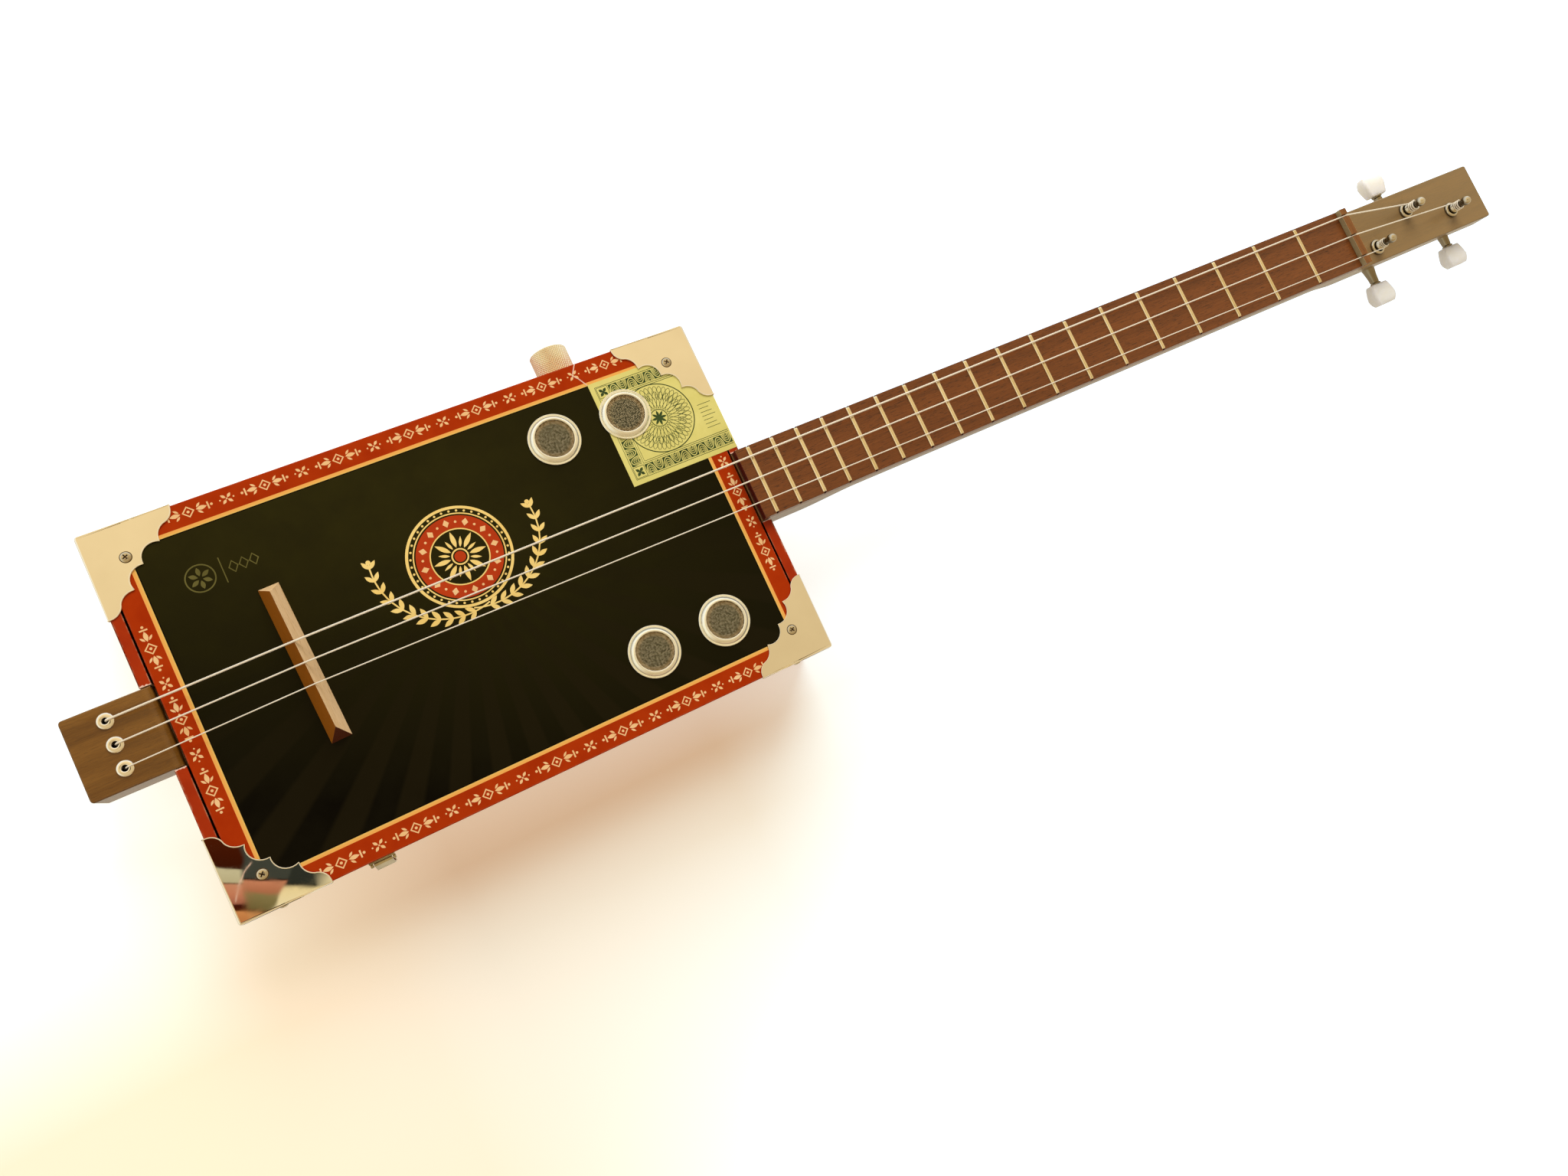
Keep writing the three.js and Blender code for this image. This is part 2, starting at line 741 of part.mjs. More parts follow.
function stringWire(string) {
  const { radius } = string;
  const y = ferruleY(string);
  const bridgeY = neckSide * string.bridgeShare;
  const nutY = neckSide * string.nutShare;
  const bridgeSeat = bridgeTop - bridge.notch + seatGap / 2 + radius;
  const nutSeat = nutTop - nut.slotDepth + seatGap / 2 + radius;
  const ballTop = neckBack + ballEnd.seatDepth - seatGap;
  const lead = ferrule.bore - radius - seatGap;
  const bend = ferrule.rise + radius + seatGap;
  const turns = windingPoints(string);
  console.log(`string_${string.name}: least gap between turns ${leastGap(turns, radius).toFixed(2)} mm`);
  const path = [
    new THREE.Vector3(ferruleX, y, ballTop - ballEnd.height / 2),
    new THREE.Vector3(ferruleX, y, face),
    new THREE.Vector3(ferruleX + lead, y, face + bend),
    new THREE.Vector3(bridgeLineX(bridgeY), bridgeY, bridgeSeat),
    new THREE.Vector3(nutX, nutY, nutSeat),
    new THREE.Vector3(nutX + nut.depth, nutY, nutSeat),
    ...turns,
  ];
  const ball = rodZ(ballEnd.radius, ballTop - ballEnd.height, ballTop, ferruleX, y, facets.small);
  return joined(wire(path, radius, winding.sides), ball);
}

function stringSet(group) {
  for (const string of strings) {
    piece(group, `string_${string.name}`, stringWire(string), finishes.steel);
  }
}

// One tuner about its post's axis. Heights are the guitar's own, the shaft runs towards -Y.
const gearPlace = { x: gearOffset, z: gearZ };

function tunerHousing() {
  const low = neckBack - tuner.depth;
  const half = tuner.halfWidth;
  const { wall, nearEnd, farEnd, earReach } = tuner;
  const above = neckBack + overrun;
  const shell = block(-nearEnd, farEnd, -half, half, low, neckBack);
  const hollow = block(-nearEnd + wall, farEnd - wall, -half + wall, half - wall, low + wall, above);
  const ear = rodZ(tuner.ear, neckBack - tuner.earDepth, neckBack, -earReach, 0, facets.small);
  const earHole = rodZ(tuner.earHole, low - overrun, above, -earReach, 0, facets.small);
  const bossEnd = -button.reach + button.collarDepth + seatGap;
  const boss = turnedY(
    [
      [0, bossEnd],
      [stem.bossTip, bossEnd],
      [stem.bossRoot, -half],
      [stem.bossRoot, -half + wall],
      [0, -half + wall],
    ],
    facets.shaft,
    gearPlace.x,
    gearPlace.z,
  );
  const { x, z } = gearPlace;
  const bore = rodY(stem.radius + seatGap, bossEnd - overrun, -half + wall + overrun, x, z, facets.small);
  return cutBy(joined(shell, ear).subtract(hollow).add(boss), [bore, earHole]);
}

function tunerPost() {
  const floor = neckBack - tuner.depth + tuner.wall;
  const gearLow = gearZ - gear.depth / 2;
  const gearHigh = gearZ + gear.depth / 2;
  const toothCount = gear.teeth * 2;
  const teeth = Array.from({ length: toothCount * 2 }, (_, i) => {
    const angle = (Math.floor(i / 2) / toothCount) * Math.PI * 2 + ((i % 2) * Math.PI) / toothCount;
    const radius = Math.floor(i / 2) % 2 ? gear.radius : gear.root;
    return [Math.cos(angle) * radius, Math.sin(angle) * radius];
  });
  const shaft = turnedZ(
    [
      [0, floor + seatGap],
      [post.pivot, floor + seatGap],
      [post.pivot, gearLow],
      [post.radius, gearLow],
      [post.radius, headFace + post.baseTop],
      [post.waist, headFace + post.waistStart],
      [post.waist, headFace + post.waistEnd],
      [post.cap, headFace + (post.waistEnd + post.capMiddle) / 2],
      [post.cap, headFace + post.capMiddle],
      [(post.cap + post.waist) / 2, headFace + (post.capMiddle + post.top) / 2],
      [post.pivot, headFace + post.top],
      [0, headFace + post.top],
    ],
    facets.shaft,
    0,
    0,
  );
  const hole = rodY(post.hole, -post.cap, post.cap, 0, headFace + post.holeHeight, facets.small);
  return slabZ(outline(teeth), gearLow, gearHigh).add(shaft).subtract(hole);
}

function postBushing() {
  const low = headFace - bushing.depth;
  const profile = [
    [bushingBore, low],
    [bushingSleeve, low],
    [bushingSleeve, headFace],
    [bushing.flange, headFace],
    [bushing.flange, headFace + bushing.rise * 0.5],
    [bushing.flange * 0.86, headFace + bushing.rise],
    [bushingBore, headFace + bushing.rise],
    [bushingBore, low],
  ];
  return turnedZ(profile, facets.hole, 0, 0);
}

// Button and worm on one shaft. The button is a keystone, widest near its outer end.
const buttonShares = {
  middle: 0.2,
  middleWidth: 0.86,
  corner: 0.62,
  tipWidth: 0.8,
  rootDepth: 0.74,
  tipDepth: 0.6,
};

function tunerButton() {
  const inner = -tuner.halfWidth + tuner.wall * 2;
  const start = -button.reach;
  const end = start - button.length;
  const { x, z } = gearPlace;
  const shaft = rodY(stem.radius, start - button.length / 2, inner, x, z, facets.small);
  const core = rodY(worm.core, inner, inner + worm.length, x, z, worm.steps);
  const collar = rodY(button.collar, start, start + button.collarDepth, x, z, facets.shaft);
  const across = ([widthShare, lengthShare]) => [
    x + (button.tip / 2) * widthShare,
    start - button.length * lengthShare,
  ];
  const rootShare = button.root / button.tip;
  const right = [
    [rootShare, 0],
    [buttonShares.middleWidth, buttonShares.middle],
    [1, buttonShares.corner],
    [buttonShares.tipWidth, 1],
  ];
  const left = right.map(([width, length]) => [-width, length]).reverse();
  const plan = slabZ(outline([...right, ...left].map(across)), gearZ - button.depth, gearZ + button.depth);
  const thick = button.depth / 2;
  const lower = [
    [start, gearZ - thick * buttonShares.rootDepth],
    [end + thick, gearZ - thick],
    [end, gearZ - thick * buttonShares.tipDepth],
  ];
  const upper = lower.map(([y, height]) => [y, gearZ * 2 - height]).reverse();
  const side = slabX(outline([...lower, ...upper]), x - button.tip, x + button.tip);
  const thread = Array.from({ length: worm.turns * worm.steps + 1 }, (_, i) => {
    const turn = i / worm.steps;
    const angle = turn * Math.PI * 2;
    const radius = worm.core + worm.thread / 2;
    const y = (turn - worm.turns / 2) * worm.pitch;
    return new THREE.Vector3(x + Math.cos(angle) * radius, y, z + Math.sin(angle) * radius);
  });
  const coil = wire(thread, worm.thread / 2, worm.sides);
  return joined(shaft, core, collar, plan.intersect(side), coil);
}

function tuners(group) {
  const housing = tunerHousing();
  const postSolid = tunerPost();
  const ring = postBushing();
  const handle = tunerButton();
  for (const string of strings) {
    const place = new THREE.Group();
    place.position.set(postX(string), postY(string), 0);
    place.scale.y = -string.stands;
    piece(place, `tuner_housing_${string.name}`, housing, finishes.chrome);
    piece(place, `tuner_post_${string.name}`, postSolid, finishes.chrome);
    piece(place, `post_bushing_${string.name}`, ring, finishes.chrome);
    piece(place, `tuner_button_${string.name}`, handle, finishes.pearl);
    group.add(place);
  }
}

// Volume control and output jack: the body sits against the side panel from inside, and a hexagonal
// nut holds its threaded bush from outside
function hexNut(radius, depth, x) {
  const points = Array.from({ length: 6 }, (_, i) => {
    const angle = (i / 6) * Math.PI * 2;
    return [x + Math.cos(angle) * radius, knob.z + Math.sin(angle) * radius];
  });
  return slabY(outline(points), boxSide, boxSide + depth);
}

function panelFitting(part, x, bushRadius, boreRadius, reach) {
  const inside = boxSide - box.side;
  const rod = (radius, from, to) => rodY(radius, from, to, x, knob.z, facets.hole);
  const body = rod(part.radius, inside - part.depth, inside);
  const bush = rod(bushRadius, inside - overrun, reach);
  const nutRing = hexNut(bushRadius + part.nutRim, part.nutDepth, x);
  const bore = rod(boreRadius, inside - part.depth + part.back, reach + overrun);
  return joined(body, bush, nutRing).subtract(bore);
}

function volumeControl(group) {
  const control = panelFitting(pot, knob.x, potBush, potBore, boxSide + pot.nutDepth);
  piece(group, "volume_control", control, finishes.steel);

  const { x, z } = knob;
  const from = boxSide + knob.gap;
  const to = from + knob.length;
  const stations = [
    [from, knob.radius - knob.chamfer],
    [from + knob.chamfer, knob.radius],
    [to - knob.chamfer, knob.radius],
    [to, knob.radius - knob.chamfer],
  ];
  const rings = stations.map(([y, radius]) =>
    Array.from({ length: knob.knurls * 2 }, (_, i) => {
      const angle = (-i / knob.knurls) * Math.PI;
      const reach = i % 2 ? radius : radius - knob.knurlDepth;
      return new THREE.Vector3(x + Math.cos(angle) * reach, y, z + Math.sin(angle) * reach);
    }),
  );
  const recess = rodY(knob.recess, from - overrun, from + knob.recessDepth, x, z, facets.hole);
  const shaftEnd = boxSide - box.side - pot.depth + pot.back + seatGap;
  const shaft = rodY(knob.shaft, shaftEnd, from + knob.length / 2, x, z, facets.small);
  piece(group, "volume_knob", solid(loft(rings)).subtract(recess).add(shaft), finishes.nickel);
}

function outputJack(group) {
  const socket = panelFitting(jack, jack.x, jackBush, jack.bore, boxSide + jack.proud);
  piece(group, "output_jack", socket, finishes.nickel);
}

function pickupDisc(group) {
  const crystalLow = lidUnder - pickup.disc - pickup.crystalDepth;
  const profile = [
    [0, crystalLow],
    [pickup.crystal, crystalLow],
    [pickup.crystal, lidUnder - pickup.disc],
    [pickup.radius, lidUnder - pickup.disc],
    [pickup.radius, lidUnder],
    [0, lidUnder],
  ];
  piece(group, "pickup_disc", turnedZ(profile, facets.ring, pickupX, bridge.shift), finishes.brass);
}

// Clasp: a plate on the lid's edge whose two outer knuckles carry the hasp's middle one. The hasp's
// tongue hangs down, swells over the catch's place and flares out at its lip.
const haspShares = { swellStart: 0.35, swellEnd: 0.62, neck: 0.86 };

function claspSet(group) {
  const wallY = -boxSide;
  const axisY = wallY - runningGap - clasp.knuckle;
  const axisZ = face - clasp.plateDrop - clasp.knuckle;
  const left = claspX - clasp.width / 2;
  const right = claspX + clasp.width / 2;
  const haspLeft = claspX - clasp.hasp / 2;
  const haspRight = claspX + clasp.hasp / 2;
  const barrel = (from, to) => slabX(roundShape(clasp.knuckle, axisY, axisZ), from, to);
  const plate = block(left, right, wallY - clasp.plate, wallY, axisZ, face - clasp.edge);
  const middleRoom = block(
    haspLeft - runningGap,
    haspRight + runningGap,
    axisY - clasp.knuckle * 2,
    wallY + overrun,
    axisZ - clasp.knuckle * 2,
    axisZ + clasp.knuckle + runningGap,
  );
  const knuckles = [barrel(left, haspLeft - runningGap), barrel(haspRight + runningGap, right)];
  piece(group, "clasp_plate", joined(plate.subtract(middleRoom), ...knuckles), finishes.nickel);

  const outer = axisY - clasp.knuckle;
  const inner = outer + clasp.plate;
  const down = (share) => axisZ - clasp.haspDrop * share;
  const tongue = outline([
    [inner, axisZ],
    [outer, axisZ],
    [outer - clasp.haspSwell, down(haspShares.swellStart)],
    [outer - clasp.haspSwell, down(haspShares.swellEnd)],
    [outer, down(haspShares.neck)],
    [outer - clasp.lip, down(1)],
    [inner - clasp.lip, down(1) - clasp.plate],
    [inner, down(haspShares.neck)],
    [inner - clasp.haspSwell, down(haspShares.swellEnd)],
    [inner - clasp.haspSwell, down(haspShares.swellStart)],
  ]);
  const hasp = slabX(tongue, haspLeft, haspRight).add(barrel(haspLeft, haspRight));
  piece(group, "clasp_hasp", hasp, finishes.nickel);
}

const guitar = new THREE.Group();
boxPanels(guitar);
boxLid(guitar);
soundPorts(guitar);
cornerBrackets(guitar);
neckBoard(guitar);
fretboard(guitar);
frets(guitar);
nutBlade(guitar);
bridgeBar(guitar);
ferrules(guitar);
stringSet(guitar);
tuners(guitar);
volumeControl(guitar);
outputJack(guitar);
pickupDisc(guitar);
claspSet(guitar);

export default guitar;
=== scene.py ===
import math
import random

import bmesh
import bpy
from mathutils import Matrix, Vector


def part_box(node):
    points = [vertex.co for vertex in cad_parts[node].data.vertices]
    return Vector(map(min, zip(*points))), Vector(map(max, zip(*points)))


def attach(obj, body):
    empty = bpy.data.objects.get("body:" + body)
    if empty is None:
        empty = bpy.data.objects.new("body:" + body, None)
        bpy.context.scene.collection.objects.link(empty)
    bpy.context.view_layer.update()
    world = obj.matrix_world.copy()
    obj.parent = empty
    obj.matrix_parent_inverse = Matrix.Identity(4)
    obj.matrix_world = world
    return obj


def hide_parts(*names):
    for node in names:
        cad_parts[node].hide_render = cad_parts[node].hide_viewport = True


# Cigar box guitar: fine forms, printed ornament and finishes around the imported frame, in metres.
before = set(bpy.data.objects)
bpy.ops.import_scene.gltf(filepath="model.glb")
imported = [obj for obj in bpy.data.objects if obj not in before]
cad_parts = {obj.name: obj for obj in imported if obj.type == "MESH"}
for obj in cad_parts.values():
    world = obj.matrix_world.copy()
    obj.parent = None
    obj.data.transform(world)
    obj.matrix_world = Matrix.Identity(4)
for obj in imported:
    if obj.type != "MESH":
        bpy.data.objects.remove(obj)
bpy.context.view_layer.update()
mm = 0.001

strings = ("treble", "middle", "bass")
corners = ("tail_treble", "tail_bass", "head_treble", "head_bass")
ports = ("bass_tail", "bass_head", "treble_tail", "treble_head")

# Places read off the frame
_, lid_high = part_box("box_lid")
head_panel_low, head_panel_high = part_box("box_end_head")
neck_low, neck_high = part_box("neck")
board_low, board_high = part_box("fretboard")
nut_low, nut_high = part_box("nut")
bridge_low, bridge_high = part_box("bridge")
face = lid_high.z
box_end = head_panel_high.x
box_side = lid_high.y
neck_side = neck_high.y
panel = head_panel_high.x - head_panel_low.x

# Sizes of the fine forms, beside those that the frame gives
line = {"from_end": 14.8 * mm, "from_side": 11 * mm, "width": 1.75 * mm, "pale": 0.6 * mm, "corner": 4 * mm}
ink_depth = 0.03 * mm
hair = 0.02 * mm
paper = {"depth": 0.12 * mm, "edge": 0.5 * mm, "wear": 0.9 * mm}
neck = {
    "edge": 0.7 * mm,
    "board_edge": 0.12 * mm,
    "back_round": 11 * mm,
    "heel": 22 * mm,
    "blend": 32 * mm,
    "corner": 1.6 * mm,
    "relief": 7 * mm,
    "head_drop": 6 * mm,
    "cove": 6 * mm,
    "cove_gap": 0.3 * mm,
    "lid_slot": 1.0 * mm,
}
bracket = {
    "leg": 38.5 * mm,
    "sheet": 0.7 * mm,
    "lobe": 6 * mm,
    "scoop": 6.7 * mm,
    "bend": 1.4 * mm,
    "edge": 0.14 * mm,
    "rim": 0.3 * mm,
    "rim_sunk_share": 0.7,
    "overrun": 0.4 * mm,
}
bracket_shares = {"lobe_end": (0.876, 0.166), "outer_cusp": (0.772, 0.345), "middle_cusp": 0.529}
screw_inset = 15.2 * mm
screw = {
    "radius": 2.25 * mm,
    "base": 2.6 * mm,
    "foot": 0.05 * mm,
    "foot_edge": 0.04 * mm,
    "below": 0.5 * mm,
    "rise": 1.0 * mm,
    "shank_share": 0.7,
    "wall_share": 0.25,
    "slot": 0.6 * mm,
    "arm": 1.25 * mm,
    "depth": 0.8 * mm,
    "small_scale": 0.8,
}
port = {
    "sleeve": 10.2 * mm,
    "wall": 0.8 * mm,
    "groove": 9.35 * mm,
    "rim": 0.45 * mm,
    "foot_share": 1.8,
    "foot_rise_share": 1.4,
    "crown": 9.85 * mm,
    "roll_share": 0.7,
    "shoulder": 0.5 * mm,
    "flange": 7.5 * mm,
    "flange_top": 0.85 * mm,
    "flange_depth": 0.3 * mm,
    "gap": 0.05 * mm,
    "cloth": 0.3 * mm,
    "screen": 1.05 * mm,
    "screen_drop": 0.5 * mm,
    "pitch": 0.62 * mm,
    "wire": 0.12 * mm,
    "weave_degrees": 34,
}
string_radii = {"treble": 0.3 * mm, "middle": 0.4 * mm, "bass": 0.5 * mm}
string_shares = {
    "treble": {"nut": -0.724, "bridge": -0.508, "side": -1},
    "middle": {"nut": 0.038, "bridge": 0.043, "side": 1},
    "bass": {"nut": 0.757, "bridge": 0.6, "side": 1},
}


def tint(code):
    """A colour written as in a drawing program, in the renderer's own linear values."""
    parts = [((code >> shift) & 255) / 255 for shift in (16, 8, 0)]
    linear = [p / 12.92 if p <= 0.04045 else ((p + 0.055) / 1.055) ** 2.4 for p in parts]
    return (*linear, 1.0)


# Node helpers
def feed(tree, socket, value):
    if isinstance(value, bpy.types.NodeSocket):
        tree.links.new(value, socket)
    elif value is not None:
        socket.default_value = value


def node(tree, kind, inputs=None, **settings):
    made = tree.nodes.new(kind)
    for key, value in settings.items():
        setattr(made, key, value)
    for key, value in (inputs or {}).items():
        feed(tree, made.inputs[key], value)
    return made


def calc(tree, operation, a, b=None):
    return node(tree, "ShaderNodeMath", {0: a, 1: b}, operation=operation).outputs[0]


def chained(tree, operation, parts):
    made = parts[0]
    for part in parts[1:]:
        made = calc(tree, operation, made, part)
    return made


def product(tree, *parts):
    return chained(tree, "MULTIPLY", parts)


def total(tree, *parts):
    return chained(tree, "ADD", parts)


def less(tree, a, b):
    return calc(tree, "SUBTRACT", a, b)


def spread(tree, value, low, high, start=0.0, end=1.0):
    inputs = {"Value": value, "From Min": low, "From Max": high, "To Min": start, "To Max": end}
    return node(tree, "ShaderNodeMapRange", inputs).outputs["Result"]


def faded(tree, *fades):
    """A mask of several fades at once, each a value and the places where it is none and full."""
    return product(tree, *[spread(tree, *fade) for fade in fades])


def mixed(tree, share, a, b):
    return node(tree, "ShaderNodeMix", {0: share, 6: a, 7: b}, data_type="RGBA").outputs[2]


def stretched(tree, vector, scales):
    return node(tree, "ShaderNodeVectorMath", {0: vector, 1: scales}, operation="MULTIPLY").outputs[0]


def noise(tree, vector, scale, detail=2.0, rough=0.5, distortion=0.0):
    inputs = {"Vector": vector, "Scale": scale, "Detail": detail}
    inputs |= {"Roughness": rough, "Distortion": distortion}
    return node(tree, "ShaderNodeTexNoise", inputs).outputs["Fac"]


def bump(tree, height, strength, distance):
    inputs = {"Height": height, "Strength": strength, "Distance": distance}
    return node(tree, "ShaderNodeBump", inputs).outputs["Normal"]


def place_of(tree):
    return node(tree, "ShaderNodeTexCoord").outputs["Object"]


def axes_of(tree, vector):
    parts = node(tree, "ShaderNodeSeparateXYZ", {0: vector})
    return parts.outputs[0], parts.outputs[1], parts.outputs[2]


# Effects that several finishes share, each a node group
def effect(name, inputs, outputs):
    group = bpy.data.node_groups.new(name, "ShaderNodeTree")
    for title, kind, value in inputs:
        socket = group.interface.new_socket(title, in_out="INPUT", socket_type="NodeSocket" + kind)
        if value is not None:
            socket.default_value = value
    for title, kind in outputs:
        group.interface.new_socket(title, in_out="OUTPUT", socket_type="NodeSocket" + kind)
    given = group.nodes.new("NodeGroupInput")
    result = group.nodes.new("NodeGroupOutput")
    return group, given.outputs, result.inputs


def wood_grain():
    """Long figure, fine fibres and open pores, with the grain along the vector's X."""
    group, given, result = effect(
        "Wood Grain",
        [
            ("Vector", "Vector", None),
            ("Light", "Color", tint(0xA9845A)),
            ("Dark", "Color", tint(0x6E4A2A)),
            ("Pore", "Color", tint(0x2B1A0E)),
            ("Pores", "Float", 0.6),
            ("Figure", "Float", 0.65),
        ],
        [("Color", "Color"), ("Height", "Float")],
    )
    slow = noise(group, stretched(group, given["Vector"], (9, 95, 95)), 1.0, 4.0, 0.55, 0.9)
    fibre = noise(group, stretched(group, given["Vector"], (70, 1500, 1500)), 1.0, 3.0, 0.6)
    holes = noise(group, stretched(group, given["Vector"], (260, 3600, 3600)), 1.0, 1.0)
    figure = spread(group, slow, 0.32, 0.68)
    threads = spread(group, fibre, 0.3, 0.7)
    tone = node(group, "ShaderNodeMix", {0: given["Figure"], 2: threads, 3: figure}).outputs[0]
    color = mixed(group, tone, given["Dark"], given["Light"])
    pores = product(group, spread(group, holes, 0.6, 0.7), given["Pores"])
    feed(group, result["Color"], mixed(group, pores, color, given["Pore"]))
    feed(group, result["Height"], less(group, product(group, threads, 0.35), pores))
    return group


def edge_wear():
    """A patchy mask along edges, where a finish has rubbed thin."""
    group, given, result = effect(
        "Edge Wear",
        [("Vector", "Vector", None), ("Reach", "Float", 0.6 * mm), ("Amount", "Float", 0.5)],
        [("Mask", "Float")],
    )
    rounded = node(group, "ShaderNodeBevel", {"Radius": given["Reach"]}, samples=4).outputs[0]
    true = node(group, "ShaderNodeNewGeometry").outputs["Normal"]
    turned = node(group, "ShaderNodeVectorMath", {0: rounded, 1: true}, operation="DOT_PRODUCT")
    edge = spread(group, turned.outputs["Value"], 0.995, 0.86)
    patches = spread(group, noise(group, given["Vector"], 160.0, 4.0, 0.65), 0.42, 0.6)
    feed(group, result["Mask"], product(group, edge, patches, given["Amount"]))
    return group


def handling_marks():
    """Smudges and fine scratches on a smooth surface."""
    group, given, result = effect(
        "Handling Marks",
        [("Vector", "Vector", None), ("Smooth", "Float", 0.08), ("Smudged", "Float", 0.2)],
        [("Roughness", "Float"), ("Height", "Float")],
    )
    cloud = spread(group, noise(group, given["Vector"], 70.0, 4.0, 0.6, 0.4), 0.45, 0.72)
    fine = spread(group, noise(group, given["Vector"], 900.0, 2.0), 0.5, 0.75)
    share = calc(group, "MAXIMUM", cloud, product(group, fine, 0.35))
    between = node(group, "ShaderNodeMix", {0: share, 2: given["Smooth"], 3: given["Smudged"]})
    feed(group, result["Roughness"], between.outputs[0])
    scratch = noise(group, stretched(group, given["Vector"], (2600, 90, 400)), 1.0, 2.0, 0.6)
    feed(group, result["Height"], scratch)
    return group


def paper_fibre():
    """The faint mottling and tooth of varnished paper."""
    group, given, result = effect(
        "Paper Fibre", [("Vector", "Vector", None)], [("Tone", "Float"), ("Height", "Float")]
    )
    mottle = noise(group, given["Vector"], 60.0, 3.0, 0.6)
    tooth = noise(group, given["Vector"], 1400.0, 2.0, 0.6)
    feed(group, result["Tone"], spread(group, mottle, 0.3, 0.7))
    feed(group, result["Height"], tooth)
    return group


grain = wood_grain()
wear = edge_wear()
marks = handling_marks()
fibre = paper_fibre()


def placed(tree, group, inputs):
    made = node(tree, "ShaderNodeGroup", node_tree=group)
    for key, value in inputs.items():
        feed(tree, made.inputs[key], value)
    return made.outputs


def finish_of(name, values=None):
    """A new material: its name, its node tree and its shader, with the plain values set."""
    material = bpy.data.materials.new(name)
    material.use_nodes = True
    tree = material.node_tree
    shader = tree.nodes["Principled BSDF"]
    for key, value in (values or {}).items():
        shader.inputs[key].default_value = value
    return material, tree, shader.inputs


def overlaid(material, mask_of, color):
    """Lays a second colour over a finish, where the mask says."""
    tree = material.node_tree
    socket = tree.nodes["Principled BSDF"].inputs["Base Color"]
    under = socket.links[0].from_socket
    feed(tree, socket, mixed(tree, mask_of(tree), under, color))
    return material


def facing(x=0, y=0, z=0, low=0.3, high=0.6):
    """A mask of the faces that look a given way on the object."""

    def mask(tree):
        normal = node(tree, "ShaderNodeTexCoord").outputs["Normal"]
        turned = node(tree, "ShaderNodeVectorMath", {0: normal, 1: (x, y, z)}, operation="DOT_PRODUCT")
        return spread(tree, turned.outputs["Value"], low, high)

    return mask


# Woods
def wood(
    name,
    light,
    dark,
    pore,
    along="X",
    pores=0.6,
    figure=0.65,
    rough=(0.42, 0.6),
    relief=0.25,
    worn=None,
    values=None,
):
    material, tree, shader = finish_of(name, {"Specular IOR Level": 0.4, **(values or {})})
    at = place_of(tree)
    if along == "Y":
        x, y, z = axes_of(tree, at)
        at = node(tree, "ShaderNodeCombineXYZ", {0: y, 1: x, 2: z}).outputs[0]
    inputs = {"Vector": at, "Light": light, "Dark": dark, "Pore": pore, "Pores": pores, "Figure": figure}
    made = placed(tree, grain, inputs)
    color = made["Color"]
    if worn is not None:
        mask = placed(tree, wear, {"Vector": at, "Reach": 0.8 * mm, "Amount": 0.7})["Mask"]
        color = mixed(tree, mask, color, worn)
    feed(tree, shader["Base Color"], color)
    feed(tree, shader["Roughness"], spread(tree, made["Height"], -0.6, 0.35, rough[1], rough[0]))
    feed(tree, shader["Normal"], bump(tree, made["Height"], relief, 0.12 * mm))
    return material


oiled = {"Specular IOR Level": 0.25, "Coat Weight": 0.45, "Coat Roughness": 0.22}
walnut = wood(
    "oiled_walnut", tint(0x8A5D22), tint(0x613B0E), tint(0x33210F), pores=0.4, rough=(0.3, 0.45),
    worn=tint(0xB8977A), values=oiled
)


# Where the walnut is painted paler as sheen and highlight, in metres along the neck.
neck_sheen_places = {"along": (250 * mm, 600 * mm), "nut_far": (578 * mm, 562 * mm), "nut_near": (558 * mm, 560 * mm)}


def painted_neck_sheen(tree):
    """A painted sheen: the neck paler and greyer toward its head, and a painted highlight most of all just
    behind the nut.
    """
    x, _, _ = axes_of(tree, place_of(tree))
    along = spread(tree, x, *neck_sheen_places["along"], 0.0, 0.5)
    near_nut = faded(tree, (x, *neck_sheen_places["nut_far"]), (x, *neck_sheen_places["nut_near"], 0.0, 0.8))
    return calc(tree, "MAXIMUM", along, near_nut)


# The walnut's painted sheen toward the head, and its painted highlight behind the nut.
overlaid(walnut, painted_neck_sheen, tint(0x9C875F))
mahogany = wood(
    "fretboard_mahogany", tint(0x80461A), tint(0x60300C), tint(0x33190B), pores=0.8, figure=0.4, relief=0.35,
    values=oiled
)
# The board's tail end face: darker end grain, painted a deeper wine red as shade and the red paper's
# reflection.
overlaid(mahogany, facing(x=-1, low=0.6, high=0.9), tint(0x4A1010))
nut_wood = wood("nut_hardwood", tint(0x94602C), tint(0x74431A), tint(0x2E2016), along="Y")
# Painted light: the nut's tail face is painted pale grey-olive as if lit, and its head face cream as a
# painted highlight.
overlaid(nut_wood, facing(x=-1, low=0.35, high=0.75), tint(0xB9AB82))
overlaid(nut_wood, facing(x=1, low=0.3, high=0.6), tint(0xE8CB94))
# Painted light and shade: the bridge's pale wood stands for its lit head-side face; the tail face is painted
# deep orange and the treble end dark red-brown, as shade.
bridge_wood = wood(
    "bridge_hardwood", tint(0xF6D6AA), tint(0xE0B880), tint(0x9A7242), along="Y", pores=0.5, relief=0.3
)
overlaid(bridge_wood, facing(x=-1, low=0.15, high=0.45), tint(0xAC640A))
overlaid(bridge_wood, facing(y=-1, low=0.3, high=0.5), tint(0x5A2812))


